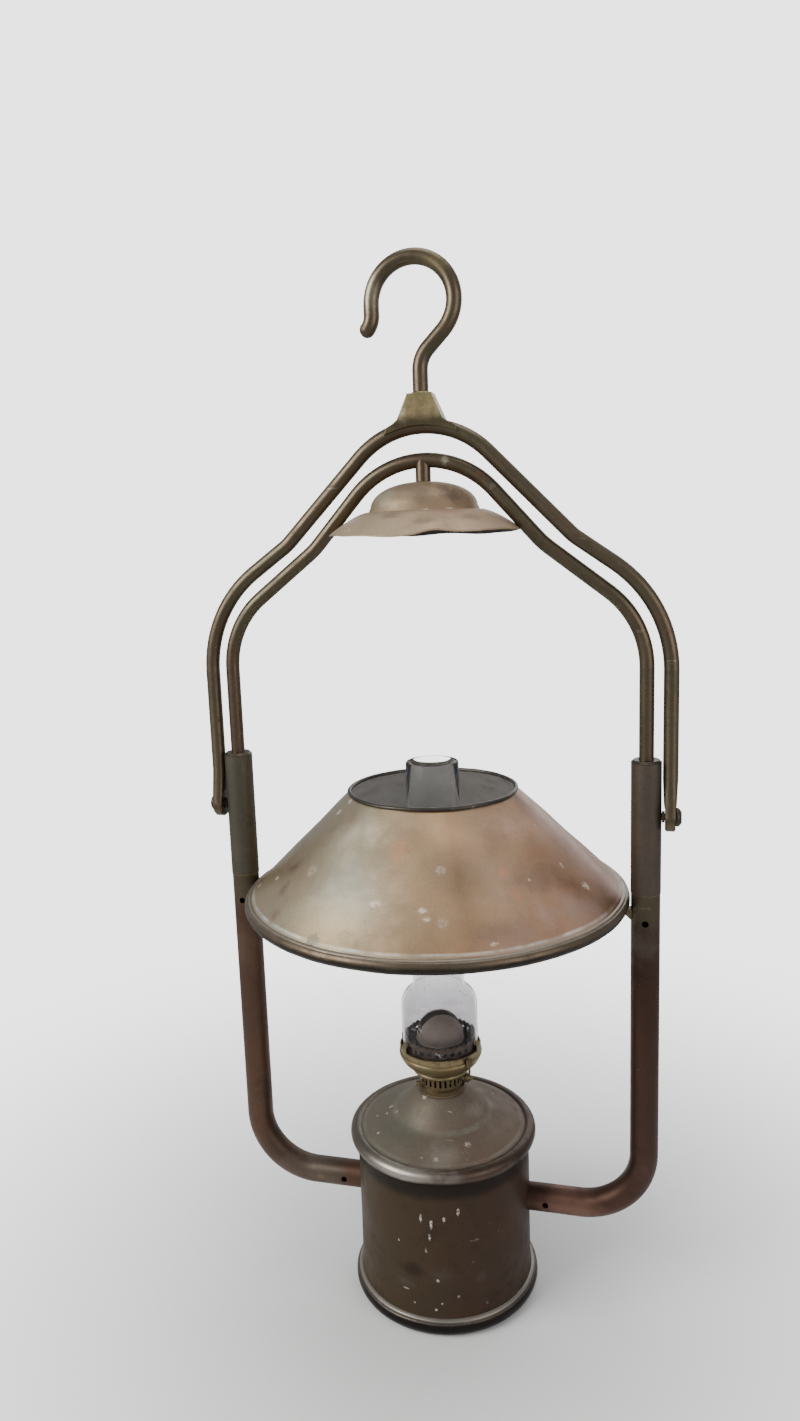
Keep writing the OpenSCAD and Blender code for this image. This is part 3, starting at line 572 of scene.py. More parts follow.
rodLook = {"base": (0.112, 0.094, 0.06), "warm": (0.128, 0.096, 0.062), "dark": (0.05, 0.041, 0.029),
    "pale": (0.26, 0.235, 0.165), "bright": (0.4, 0.35, 0.25), "cloud": 20, "rough": 0.38, "metal": 0.85,
    "spots": (0.14, 0.055, 0.03), "spotShare": 0.4, "rub": 0.4, "patch": (0.125, 0.072, 0.052), "patchSize": 13,
    "patchShare": 0.45, "bump": 0.08}
# the broad pale patches up on the hook's leg and over its bend are painted highlight; the small spots are stains
rodMarksAndHighlights = [
    ((0.0165, -0.004, -0.1275), (0.003, 0.005), (0.34, 0.31, 0.24), 0.75, 0.6),
    ((0.04, -0.004, -0.1375), (0.0045, 0.0035), (0.21, 0.1, 0.06), 0.6, 0.8),
    ((0.048, -0.004, -0.146), (0.003, 0.003), (0.24, 0.2, 0.15), 0.6, 0.6),
    ((-0.035, -0.004, -0.014), (0.012, 0.024), (0.36, 0.34, 0.24), 0.7, 1.1),
    ((0.012, -0.004, -0.001), (0.016, 0.01), (0.27, 0.21, 0.11), 0.55, 1.0)]
rodFinish = agedMetal("agedRodAndShading", {**rodLook, "marks": rodMarksAndHighlights})

saddleLook = {**rodLook, "base": (0.3, 0.25, 0.125), "warm": (0.32, 0.25, 0.125), "dark": (0.11, 0.085, 0.05),
    "pale": (0.42, 0.37, 0.25), "cloud": 60, "rough": 0.34, "blotch": 0.75, "patchShare": 0.2}

sleeveLook = {"base": (0.0875, 0.0765, 0.0608), "warm": (0.105, 0.085, 0.0672), "dark": (0.042, 0.0357, 0.0288),
    "pale": (0.168, 0.161, 0.14), "bright": (0.22, 0.2, 0.16), "cloud": 26, "rough": 0.46, "metal": 0.6, "rub": 0.3,
    "streak": 0.35, "lean": 0.8, "width": 0.1, "leanLeft": (0.95, 1.0, 0.9), "leanRight": (1.0, 0.92, 0.9)}
sleeveFinish = agedMetal("darkSleeve", sleeveLook)

rivetLook = {**rodLook, "base": (0.075, 0.066, 0.052), "warm": (0.09, 0.072, 0.055), "cloud": 70, "rough": 0.42,
    "patchShare": 0.2}
rivetFinish = agedMetal("agedRivet", rivetLook)

fittingLook = {**rodLook, "base": (0.17, 0.145, 0.085), "warm": (0.19, 0.145, 0.085), "dark": (0.08, 0.06, 0.04),
    "cloud": 60}
fittingFinish = agedMetal("dullFitting", fittingLook)

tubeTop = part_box("lower_tube_left")[1].z
copperLook = {"base": (0.082, 0.056, 0.043), "warm": (0.098, 0.056, 0.041), "dark": (0.042, 0.031, 0.026),
    "pale": (0.19, 0.15, 0.12), "bright": (0.32, 0.23, 0.165), "cloud": 11, "rough": 0.44, "metal": 0.7,
    "blotch": 0.6, "rub": 0.35, "spots": (0.17, 0.13, 0.085), "spotShare": 0.35, "patch": (0.07, 0.055, 0.042),
    "patchSize": 9, "patchShare": 0.7, "bands": [(tubeTop - 0.03, tubeTop - 0.014, (0.105, 0.088, 0.055), 0.85)],
    "lean": 0.95, "width": 0.12, "leanLeft": (1.12, 1.02, 0.92), "leanRight": (0.72, 0.61, 0.59), "gloss": 0.25,
    "marks": [((-0.098, -0.006, -0.668), (0.03, 0.018), (0.125, 0.103, 0.08), 0.75, 1.0),
        ((-0.124, -0.008, -0.664), (0.016, 0.012), (0.15, 0.125, 0.105), 0.4, 1.0),
        ((-0.098, -0.01, -0.672), (0.004, 0.003), (0.19, 0.13, 0.08), 0.6, 0.6),
        ((-0.153, -0.006, -0.485), (0.02, 0.03), (0.15, 0.1, 0.07), 0.6, 1.0),
        ((0.096, -0.004, -0.672), (0.034, 0.022), (0.225, 0.12, 0.09), 0.8, 1.0),
        ((0.148, -0.008, -0.464), (0.02, 0.02), (0.12, 0.096, 0.076), 0.7, 1.0)]}
copperFinish = agedMetal("brownCopper", copperLook)

coneLow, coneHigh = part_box("shade_cone")
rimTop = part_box("shade_rim")[1].z
shadeLook = {"base": (0.445, 0.34, 0.222), "warm": (0.445, 0.3, 0.186), "dark": (0.2013, 0.1575, 0.119),
    "pale": (0.476, 0.441, 0.364), "bright": (0.46, 0.43, 0.36), "cloud": 7, "rough": 0.34, "metal": 0.82,
    "blotch": 0.35, "rub": 0.45, "streak": 0.7, "splash": 70, "splashGate": 0.58, "splashShare": 0.65,
    "dripLong": 0.5, "patch": (0.4113, 0.2188, 0.1313), "patchSize": 11, "patchShare": 0.55, "lean": 0.95,
    "width": 0.09, "leanLeft": (1.0, 1.08, 1.06), "leanRight": (1.06, 0.92, 0.88),
    # the pale line and band just above the bead are rubbed metal and painted highlight
    "bands": [(rimTop + 0.0016, rimTop + 0.0002, (0.5, 0.46, 0.38), 0.35)],
    "hoops": [(coneHigh.x - 0.001, 0.0011, (0.8, 0.74, 0.64), 0.9)]}


def onCone(angle, z):  # a place on the cone's outside
    share = (z - coneLow.z) / (coneHigh.z - coneLow.z)
    return onRound(coneHigh.x + (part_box("shade_top_rim")[1].x - coneHigh.x) * share, angle, z)


# stains, heat marks and lighter or darker tarnish; the broad pale patches on the left are painted highlight
shadeStainsAndSheen = [
    (-119, -0.374, 0.03, 0.026, (0.64, 0.58, 0.46), 0.7, 1.1),
    (-113, -0.397, 0.02, 0.034, (0.64, 0.57, 0.44), 0.6, 1.1),
    (-36, -0.371, 0.026, 0.018, (0.62, 0.44, 0.32), 0.65, 1.1),
    (-32, -0.417, 0.034, 0.014, (0.56, 0.42, 0.34), 0.65, 1.0),
    (-21, -0.422, 0.018, 0.012, (0.52, 0.4, 0.35), 0.6, 1.0),
    (-84, -0.371, 0.018, 0.014, (0.34, 0.205, 0.12), 0.3, 1.0),
    (-100, -0.405, 0.04, 0.022, (0.56, 0.47, 0.35), 0.45, 1.1),
    (-96, -0.374, 0.018, 0.02, (0.34, 0.23, 0.14), 0.5, 1.1),
    (-158, -0.39, 0.05, 0.02, (0.3, 0.25, 0.18), 0.4, 1.1),
    (-112, -0.4, 0.04, 0.055, (0.544, 0.52, 0.432), 0.55, 1.1),
    (-70, -0.386, 0.03, 0.034, (0.312, 0.232, 0.168), 0.45, 1.0),
    (-35, -0.4, 0.028, 0.015, (0.24, 0.17, 0.125), 0.5, 0.8),
    (-40, -0.383, 0.022, 0.008, (0.48, 0.344, 0.2), 0.5, 0.8),
    (-93, -0.378, 0.009, 0.014, (0.66, 0.32, 0.18), 0.7, 1.2),
    (-50, -0.392, 0.005, 0.012, (0.66, 0.31, 0.17), 0.65, 1.1),
    (-48.5, -0.404, 0.005, 0.012, (0.64, 0.3, 0.17), 0.6, 1.1),
    (-58, -0.422, 0.03, 0.011, (0.4, 0.264, 0.216), 0.45, 1.0),
    (-146, -0.4, 0.007, 0.012, (0.26, 0.145, 0.115), 0.55, 1.0),
    (-140, -0.412, 0.008, 0.012, (0.25, 0.135, 0.105), 0.6, 1.0),
    (-134, -0.424, 0.008, 0.011, (0.26, 0.145, 0.115), 0.55, 1.0),
    (-114, -0.427, 0.006, 0.004, (0.192, 0.168, 0.136), 0.6, 0.3)]
shadeLook["marks"] = [
    (onCone(angle, z), (wide, tall), tint, share, edge)
    for angle, z, wide, tall, tint, share, edge in shadeStainsAndSheen]
# painted reflection and shade: colour stops around the shade, each an angle and a factor
shadeLook["sweep"] = [
    (-180, (0.92, 0.92, 0.92)), (180, (1, 1, 1)), (-165, (0.83, 0.84, 0.83)), (-157, (0.83, 0.85, 0.84)),
    (-149, (0.91, 0.93, 0.95)), (-141, (0.96, 1.0, 1.07)), (-133, (1.07, 1.12, 1.2)), (-125, (1.18, 1.24, 1.27)),
    (-117, (1.21, 1.24, 1.18)), (-109, (1.27, 1.31, 1.27)), (-101, (1.25, 1.29, 1.3)), (-93, (1.32, 1.3, 1.28)),
    (-85, (1.18, 1.12, 1.04)), (-77, (0.91, 0.85, 0.78)), (-69, (0.77, 0.7, 0.64)), (-61, (0.97, 0.94, 0.92)),
    (-53, (1.12, 1.13, 1.18)), (-45, (1.22, 1.2, 1.27)), (-37, (1.37, 1.31, 1.32)), (-29, (1.25, 1.17, 1.18)),
    (-21, (0.96, 0.88, 0.88)), (-13, (0.52, 0.42, 0.38)), (-5, (0.38, 0.28, 0.24)), (15, (0.8, 0.74, 0.7)),
    (40, (1, 1, 1))]
shadeDrops = [
    (-150, -0.366, 0.0028, 0.0048, 0.9), (-147, -0.3585, 0.004, 0.003, 0.8), (-98, -0.405, 0.0042, 0.0024, 0.75),
    (-81.7, -0.407, 0.003, 0.0024, 0.9), (-80.2, -0.411, 0.0028, 0.0022, 0.8), (-75, -0.388, 0.0042, 0.004, 0.4),
    (-21, -0.398, 0.0018, 0.005, 0.8), (-17.5, -0.4125, 0.004, 0.0048, 0.7), (-41, -0.3985, 0.0015, 0.0014, 0.9),
    (-152, -0.411, 0.0042, 0.0018, 0.5), (-132, -0.397, 0.007, 0.0045, 0.25), (-75.5, -0.413, 0.0048, 0.0055, 0.25),
    (-15, -0.375, 0.0012, 0.0012, 0.9), (-61.5, -0.4244, 0.0034, 0.0011, 0.8), (-163, -0.424, 0.004, 0.002, 0.5)]
shadeLook["crusts"] = [
    (onCone(angle, z), (wide, tall), share)
    for angle, z, wide, tall, share in shadeDrops]
shadeFinish = agedMetal("shadeTarnishAndShading", shadeLook)

insideLook = {"base": (0.178, 0.168, 0.151), "warm": (0.2, 0.172, 0.158), "dark": (0.088, 0.079, 0.073),
    "pale": (0.27, 0.26, 0.25), "bright": (0.34, 0.33, 0.3), "cloud": 14, "rough": 0.5, "metal": 0.45,
    "streak": 0.4}
insideFinish = agedMetal("shadeInside", insideLook)

rimLow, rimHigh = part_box("shade_rim")
rimZ = (rimLow.z + rimHigh.z) / 2
beadLook = {"base": (0.115, 0.09, 0.062), "warm": (0.13, 0.092, 0.062), "dark": (0.045, 0.039, 0.032),
    "pale": (0.25, 0.235, 0.195), "bright": (0.4, 0.37, 0.31), "cloud": 30, "rough": 0.38, "metal": 0.75,
    "rub": 0.55}
# the near-black band under the bead is painted shade, the pale band over its top painted highlight
rimLook = {**beadLook, "bands": [(rimZ + 0.0016, rimZ - 0.0012, (0.018, 0.016, 0.014), 0.92),
        (rimZ + 0.003, rimZ + 0.0044, (0.34, 0.29, 0.23), 0.7)]}
beadFinish = agedMetal("rolledBead", rimLook)
edgeFinish = agedMetal("wiredEdge", {**beadLook, "base": (0.062, 0.056, 0.048), "warm": (0.075, 0.064, 0.053),
        "cloud": 50, "splash": 160, "splashGate": 0.54})

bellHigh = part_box("smoke_bell")[1]
bellLook = {"base": (0.3, 0.222, 0.142), "warm": (0.31, 0.212, 0.14), "dark": (0.135, 0.1, 0.07),
    "pale": (0.42, 0.371, 0.294), "bright": (0.44, 0.4, 0.32), "cloud": 16, "rough": 0.54, "metal": 0.62,
    "blotch": 0.85, "rub": 0.6, "splash": 130, "splashGate": 0.56, "splashShare": 0.6, "bump": 0.4, "lean": 0.9,
    "width": 0.06, "leanLeft": (0.95, 1.04, 1.02), "leanRight": (1.04, 0.95, 0.92),
    "bands": [(bellHigh.z - 0.019, bellHigh.z - 0.0225, (0.5, 0.385, 0.26), 0.5)],
    # the pale patches on the left of the crown and brim are painted highlight, the dark patch on the crown's right
    # painted shade; the other patches are patina
    "marks": [((-0.022, -0.026, bellHigh.z - 0.01), (0.014, 0.008), (0.4, 0.36, 0.29), 0.55, 0.8),
        ((0.006, -0.033, bellHigh.z - 0.009), (0.014, 0.008), (0.15, 0.112, 0.08), 0.65, 0.9),
        ((0.027, -0.024, bellHigh.z - 0.01), (0.012, 0.01), (0.11, 0.08, 0.06), 0.8, 0.9),
        ((-0.006, -0.03, bellHigh.z - 0.004), (0.018, 0.005), (0.2, 0.15, 0.105), 0.6, 0.9),
        ((0.022, -0.038, bellHigh.z - 0.022), (0.014, 0.004), (0.36, 0.2, 0.15), 0.6, 0.9),
        ((-0.012, -0.045, bellHigh.z - 0.023), (0.012, 0.004), (0.18, 0.135, 0.095), 0.6, 0.8),
        ((-0.044, -0.034, bellHigh.z - 0.025), (0.016, 0.005), (0.52, 0.48, 0.42), 0.6, 0.9),
        ((0.04, -0.038, bellHigh.z - 0.025), (0.012, 0.004), (0.2, 0.145, 0.11), 0.6, 0.9),
        ((0.012, -0.056, bellHigh.z - 0.027), (0.012, 0.004), (0.2, 0.145, 0.1), 0.6, 0.9)],
    "crusts": [((0.01, -0.0385, bellHigh.z - 0.02), (0.003, 0.0012), 0.8),
        ((0.024, -0.031, bellHigh.z - 0.0198), (0.004, 0.0012), 0.8),
        ((-0.022, -0.033, bellHigh.z - 0.0202), (0.0024, 0.001), 0.6),
        ((-0.046, -0.03, bellHigh.z - 0.026), (0.0022, 0.0014), 0.6)]}
bellFinish = agedMetal("bellTarnishAndShading", bellLook)

sootLook = {**insideLook, "base": (0.032, 0.028, 0.025), "warm": (0.042, 0.034, 0.029),
    "dark": (0.015, 0.014, 0.013), "cloud": 30, "rough": 0.6}
sootFinish = agedMetal("sootyUnderside", sootLook)

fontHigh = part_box("font_body")[1]
fontDrops = [
    (-93, -0.6545, 0.0012, 0.0036, 0.9), (-86.5, -0.658, 0.0014, 0.0044, 0.95),
    (-78.4, -0.654, 0.0013, 0.0026, 0.8), (-69.4, -0.649, 0.0013, 0.0038, 0.85),
    (-87.6, -0.669, 0.0012, 0.0034, 0.85), (-90.3, -0.68, 0.001, 0.0032, 0.5), (-109, -0.677, 0.001, 0.0011, 0.6),
    (-105, -0.714, 0.0032, 0.0008, 0.6), (-99, -0.7235, 0.0011, 0.0011, 0.7), (-81, -0.7217, 0.001, 0.0012, 0.85),
    (-85, -0.7266, 0.0011, 0.0013, 0.8)]
fontLook = {"base": (0.047, 0.0345, 0.025), "warm": (0.052, 0.0335, 0.023), "dark": (0.023, 0.0185, 0.015),
    "pale": (0.095, 0.088, 0.075), "bright": (0.24, 0.22, 0.18), "cloud": 11, "rough": 0.46, "metal": 0.2,
    "gloss": 0.05, "rub": 0.3, "splash": 95, "splashGate": 0.63, "splashShare": 0.7, "dripLong": 0.35, "lean": 0.85,
    "width": 0.05, "leanLeft": (1.1, 1.22, 1.04), "leanRight": (1.12, 1.0, 1.0),
    # darker just under the top roll: painted shade
    "bands": [(fontHigh.z - 0.016, fontHigh.z - 0.008, (0.014, 0.012, 0.011), 0.75)],
    "crusts": placedOn([(fontHigh.x, *row) for row in fontDrops]),
    "marks": [(onRound(fontHigh.x, -100, -0.697), (0.01, 0.008), (0.02, 0.016, 0.013), 0.6, 0.8),
        (onRound(fontHigh.x, -82, -0.7), (0.012, 0.01), (0.075, 0.06, 0.048), 0.45, 1.0),
        (onRound(fontHigh.x, -55, -0.703), (0.006, 0.008), (0.08, 0.064, 0.055), 0.45, 1.0),
        (onRound(fontHigh.x, -104, -0.709), (0.012, 0.006), (0.085, 0.075, 0.06), 0.4, 1.0)]}
fontFinish = agedMetal("fontPatinaAndShading", fontLook)

ringLow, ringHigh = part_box("font_top_ring")
seamR = ringHigh.x - 0.71 * (ringHigh.z - ringLow.z)  # where the lid meets the roll
lidDrops = [
    (0.0185, -121, -0.5905, 0.0022, 0.0016, 0.9), (0.0457, -55, -0.6115, 0.0034, 0.003, 0.7),
    (0.0454, -77, -0.6115, 0.0012, 0.001, 0.7), (0.0545, -83, -0.615, 0.0026, 0.002, 0.5),
    (0.0541, -94, -0.6149, 0.0016, 0.0012, 0.5), (0.0562, -60, -0.616, 0.0018, 0.0013, 0.55),
    (0.047, 45, -0.612, 0.001, 0.004, 0.8)]
lidLook = {"base": (0.165, 0.146, 0.116), "warm": (0.175, 0.142, 0.113), "dark": (0.1224, 0.1037, 0.0867),
    "pale": (0.245, 0.2352, 0.203), "bright": (0.42, 0.4, 0.34), "cloud": 17, "rough": 0.6, "metal": 0.55,
    "blotch": 0.5, "splash": 110, "splashGate": 0.56, "splashShare": 0.6, "scratch": 0.7, "lean": 0.8,
    "width": 0.05, "leanLeft": (0.94, 1.0, 0.95), "leanRight": (1.0, 0.82, 0.74),
    "marks": [(onRound(0.04, -125, -0.609), (0.022, 0.014), (0.135, 0.135, 0.105), 0.55, 1.2),
        (onRound(0.045, 20, -0.612), (0.03, 0.02), (0.125, 0.085, 0.068), 0.6, 1.2),
        (onRound(0.0288, -20, -0.6005), (0.014, 0.009), (0.27, 0.225, 0.185), 0.8, 1.1),
        (onRound(0.0515, -80, -0.6132), (0.022, 0.01), (0.285, 0.25, 0.205), 0.65, 1.1)],
    # the pale rings at the crease and just inside the seam are painted highlight; the dark ring at the seam is the
    # joint
    "crusts": placedOn(lidDrops), "hoops": [(0.0365, 0.0028, (0.23, 0.225, 0.185), 0.6),
        (seamR - 0.0034, 0.0016, (0.25, 0.24, 0.2), 0.5), (seamR, 0.0017, (0.014, 0.012, 0.01), 0.95)]}
lidFinish = agedMetal("lidPatinaAndShading", lidLook)

burnerLook = {"base": (0.23, 0.187, 0.102), "warm": (0.262, 0.194, 0.102), "dark": (0.062, 0.045, 0.028),
    "pale": (0.38, 0.34, 0.23), "bright": (0.52, 0.47, 0.33), "cloud": 60, "rough": 0.36, "metal": 0.8,
    "blotch": 0.85}
burnerFinish = agedMetal("burnerBrass", burnerLook)
drumFinish = agedMetal("drumBrass", {**burnerLook, "base": (0.13, 0.1, 0.055), "warm": (0.15, 0.105, 0.055)})

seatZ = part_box("burner_crown")[0].z
deflectorLook = {"base": (0.38, 0.325, 0.285), "warm": (0.39, 0.315, 0.268), "dark": (0.195, 0.158, 0.132),
    "pale": (0.16, 0.14, 0.125), "bright": (0.22, 0.2, 0.18), "cloud": 40, "rough": 0.64, "metal": 0.3,
    "blotch": 0.5, "rub": 0.3, "gloss": 0.15,
    # the near-black band low on the dome is painted shade, seen through the crown's holes
    "bands": [(seatZ + 0.0099, seatZ + 0.0089, (0.006, 0.005, 0.005), 0.97)]}
deflectorFinish = agedMetal("sootyShadedBrass", deflectorLook)
crownLook = {**deflectorLook, "base": (0.175, 0.13, 0.096), "warm": (0.19, 0.128, 0.094),
    "dark": (0.08, 0.056, 0.042), "pale": (0.17, 0.135, 0.105), "metal": 0.4,
    "bands": [(seatZ + 0.0112, seatZ + 0.0138, (0.04, 0.028, 0.021), 0.6)]}
crownFinish = agedMetal("burntCrown", crownLook)
print("finishes mixed")


# hanger: hook, saddle and bail
placeCopy("hookRod", "hook", 40, "hanger", "rod", rodFinish)
placeCopy("bailRod", "outer_bail", 40, "hanger", "rod", rodFinish)

# a cast block, flat in front, that flares out along the bail
saddle = {"width": 0.0174, "depth": 0.0138, "round": 0.0014, "start": 0.001,
          "steps": [(0.012, 1.61, 1.1), (0.004, 1.125, 1.03), (0.0024, 1.2, 0.97), (0.0026, 1.28, 0.86),
                    (0.006, 1.06, 0.95)],
          "bendR": 0.063, "bailR": 0.0051}
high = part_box("hook_saddle")[1]
top = high.z - 0.0001
block = cubeOf("castSaddle", (0, 0, top - saddle["start"] / 2), (saddle["width"], saddle["depth"], saddle["start"]))
pickParts(block, "polygons", lambda face: face.normal.z < -0.9)
z = top - saddle["start"]
for drop, widen, deepen in saddle["steps"]:
    z -= drop
    drawOut((0, 0, -drop), (widen, deepen, 1), center_override=(0, 0, z))
settle(block, 35)
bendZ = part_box("outer_bail")[1].z - saddle["bailR"] - saddle["bendR"]  # the middle of the bail's crown bend
bpy.ops.mesh.primitive_cylinder_add(vertices=160, radius=saddle["bendR"], depth=0.06, location=(0, 0, bendZ),
                                    rotation=(math.pi / 2, 0, 0))
carved(block, bpy.context.object)
soften(block, saddle["round"], 3, 25)
settle(block, 50)
# darker towards the bail below: painted shade where the block meets the rod; the pale patches at its left and right
# edges are painted highlight
saddleLook["bands"] = [(high.z - 0.012, high.z - 0.018, (0.075, 0.062, 0.042), 0.7)]
saddleLook["marks"] = [((-0.0125, -0.007, top - 0.012), (0.0045, 0.011), (0.6, 0.55, 0.34), 0.6, 1.1),
                       ((0.013, -0.006, top - 0.01), (0.004, 0.01), (0.54, 0.45, 0.31), 0.55, 1.1),
                       ((0.0005, -0.008, top - 0.0135), (0.0035, 0.005), (0.15, 0.12, 0.065), 0.5, 1.0)]
brazeLine = [(0.0052, -0.0005), (0.0068, -0.0002), (0.0064, 0.0005), (0.0057, 0.0011), (0.0052, 0.0013),
             (0.0052, -0.0005)]
braze = turned("brazeRing", [(r, high.z + rise) for r, rise in brazeLine], 48, 60)
unevenly(braze, 0.004, 0.0002, 9)
place(joined("castSaddle", [block, braze]), "hanger", "saddle", "hook_saddle", agedMetal("castBrass", saddleLook))
print("hanger done")


# frame: bow, sleeves, tubes and rivets
placeCopy("bowRod", "inner_bow", 40, "lantern", "rod", rodFinish)
placeCopy("bellStem", "bell_stem", 35, "lantern", "rod", rodFinish)
for side in ("left", "right"):
    for name, node, slot, finish in (("sleeve", "sleeve_", "sleeve", sleeveFinish),
                                     ("sleeveCap", "sleeve_plug_", "fitting", rivetFinish),
                                     ("copperTube", "lower_tube_", "copper_tube", copperFinish)):
        placeCopy(name + side.title(), node + side, 40, "lantern", slot, finish)
    dress(fittingFinish, "tube_spigot_" + side, "font_stub_" + side, "shade_lug_" + side)
    dress(rivetFinish, "pivot_washer_" + side)

# rivets with a hammered round head
rivet = {"head": 0.0065, "tall": 0.0042, "dome": 0.00208, "shank": 0.0025, "around": 48}
for side, way in (("left", -1), ("right", 1)):
    low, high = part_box("pivot_rivet_" + side)
    inner, outer = (low.x, high.x - 0.0003) if way > 0 else (-high.x, -low.x - 0.0003)
    headIn = outer - rivet["tall"]
    corners = [(rivet["shank"], headIn), (rivet["head"], headIn), (rivet["head"], outer - rivet["dome"]),
               (rivet["head"] * 0.62, outer), (0, outer)]
    piece = turned("rivet" + side.title(), [(0, inner), (rivet["shank"], inner), *rounded(corners, 0.0009)],
                   rivet["around"], 40)
    spun(piece, way * 90, "Y")
    piece.data.transform(Matrix.Translation((0, 0, (low.z + high.z) / 2)))
    unevenly(piece, 0.004, 0.00016, 3 + way)
    place(piece, "lantern", "rivet", "pivot_rivet_" + side, rivetFinish)
print("frame done")


# smoke bell
smokeBell = {"sheet": 0.001, "steps": (14, 12), "wave": 0.0016, "crownR": 0.0372, "crownH": 0.0196, "edge": 0.0012}
low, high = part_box("smoke_bell")
bellR, crownR, crownH = high.x, smokeBell["crownR"], smokeBell["crownH"]
rootR, rootZ = crownR + smokeBell["edge"], high.z - crownH
skinLine = [(0.0035, high.z)]
crownSteps, brimSteps = smokeBell["steps"]
for k in range(crownSteps + 1):
    t = math.radians(12 + 72 * k / crownSteps)
    skinLine.append((crownR * math.sin(t) ** 0.94, rootZ + crownH * math.cos(t) ** 0.86))
skinLine.append((rootR, rootZ - 0.0002))
for k in range(1, brimSteps + 1):
    t = k / brimSteps
    skinLine.append((rootR + (bellR - rootR) * t, rootZ - (high.z - low.z - crownH - 0.001) * t ** 1.5))
bell = turned("bellSheet", shell(skinLine, 0, -smokeBell["sheet"]), 160, 42)


def bellShare(co):
    return clamped((co.xy.length - 0.03) / (bellR - 0.03))


for v in bell.data.vertices:
    a = math.atan2(v.co.y, v.co.x)
    bent = math.sin(2 * a + 2.2) * 0.55 + math.sin(5 * a + 0.6) * 0.3 + math.sin(9 * a) * 0.18 + 0.35
    v.co.z += smokeBell["wave"] * bellShare(v.co) ** 2 * bent
unevenly(bell, 0.03, 0.0009, 11, bellShare)
dented(bell, [((0.018, -0.058, rootZ - 0.01), 0.016, (0, 0, 0.0024)),
              ((-0.045, -0.04, rootZ - 0.008), 0.014, (0, 0, 0.001)),
              ((0.02, 0.03, rootZ + 0.008), 0.016, (0, 0, -0.001))])
place(settle(bell, 50), "lantern", "bell", "smoke_bell", bellFinish, sootFinish)
for face in bell.data.polygons:
    face.material_index = 1 if face.normal.z < -0.25 else 0
print("smoke bell done")


# shade
coneShade = {"sheet": 0.0009, "wave": 0.0009, "around": 192}
topLow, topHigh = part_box("shade_top_rim")
beadR, topBeadR = (rimHigh.z - rimLow.z) / 2, (topHigh.z - topLow.z) / 2
rimR = rimHigh.x - beadR
topR, topZ = topHigh.x - topBeadR, topHigh.z - topBeadR
lowPoint = Vector((rimR + beadR * 0.35, rimZ + beadR * 0.55))
topPoint = Vector((topR - topBeadR * 0.1, topZ - topBeadR * 0.4))
along = (topPoint - lowPoint).normalized()
inward = Vector((-along.y, along.x)) * coneShade["sheet"]
outerLine = stretched([tuple(lowPoint), tuple(topPoint)], 0.004)
cone = turned("shadeSheet", shell(outerLine, inward.x, inward.y), coneShade["around"], 50)


def middleShare(co):
    t = (co.z - rimZ) / (topZ - rimZ)
    return clamped(t * 6) * clamped((1 - t) * 6)


unevenly(cone, 0.045, coneShade["wave"], 21, middleShare)
dented(cone, [((-0.085, -0.055, rimZ + 0.035), 0.022, (0.0007, 0.0006, 0)),
              ((0.05, -0.088, rimZ + 0.03), 0.026, (-0.0003, 0.0009, 0)),
              ((0.09, 0.04, rimZ + 0.04), 0.025, (-0.0009, -0.0004, 0))])
place(settle(cone, 50), "lantern", "shade", "shade_cone", shadeFinish, insideFinish)
for face in cone.data.polygons:
    face.material_index = 1 if face.normal.z < 0 else 0

# the rolled rim, with the seam where the sheet tucks under
bead = {"steps": 48, "seamAt": 62, "seamDeep": 0.0007, "seamWide": 9, "around": 192}
beadLine = []
for k in range(bead["steps"] + 1):
    a = 360 * k / bead["steps"]
    gap = abs((a - bead["seamAt"] + 180) % 360 - 180)
    r = beadR - 0.0003 - (bead["seamDeep"] * max(0, 1 - gap / bead["seamWide"]))
    beadLine.append((rimR + r * cosOf(a), rimZ + r * sinOf(a)))
roll = turned("shadeBead", beadLine, bead["around"], 60)
unevenly(roll, 0.02, 0.00022, 5)
place(settle(roll, 60), "lantern", "shade_bead", "shade_rim", beadFinish)

topEdge = turned("shadeTopEdge", arcLine(topR, topZ, topBeadR, 0, 360, 20), 160, 60)
unevenly(topEdge, 0.012, 0.00022, 8)
place(settle(topEdge, 60), "lantern", "shade_bead", "shade_top_rim", edgeFinish)
print("shade done")


# font: body, rolls, lid and collar
fontBody = {"wall": 0.0009, "wave": 0.0005, "around": 160}
low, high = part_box("font_body")
footLow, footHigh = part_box("font_foot_ring")
fontR = high.x
footZ = (footHigh.z + footLow.z + 0.0005) / 2
footTube = footHigh.z - footZ
footR = footHigh.x - footTube
ringTube = (ringHigh.z - ringLow.z) / 2
ringR, ringZ = ringHigh.x - ringTube, (ringHigh.z + ringLow.z) / 2
outside = flowing([(fontR + 0.0009, footZ + footTube * 0.95), (fontR + 0.0003, footZ + footTube + 0.004),
                   (fontR, footZ + footTube + 0.012)], 5)
outside = outside[:-1] + stretched([outside[-1], (fontR, ringZ - ringTube * 0.6)], 0.005)
body = turned("fontWall", shell(outside, -fontBody["wall"], 0), fontBody["around"], 50)


def wallShare(co):
    t = (co.z - low.z) / (high.z - low.z)
    arm = 1 - max(0.0, 1 - (abs(abs(co.x) - fontR) / 0.012 + abs(co.y) / 0.03))
    return clamped(t * 5) * clamped((1 - t) * 5) * min(1, arm)


unevenly(body, 0.04, fontBody["wave"], 31, wallShare)
dented(body, [((-0.03, -0.058, footZ + 0.028), 0.014, (0.0003, 0.0007, 0)),
              ((0.02, -0.062, footZ + 0.07), 0.02, (0, 0.0005, 0)),
              ((0.02, 0.062, footZ + 0.05), 0.02, (0, -0.0009, 0))])
place(settle(body, 50), "lantern", "font", "font_body", fontFinish)

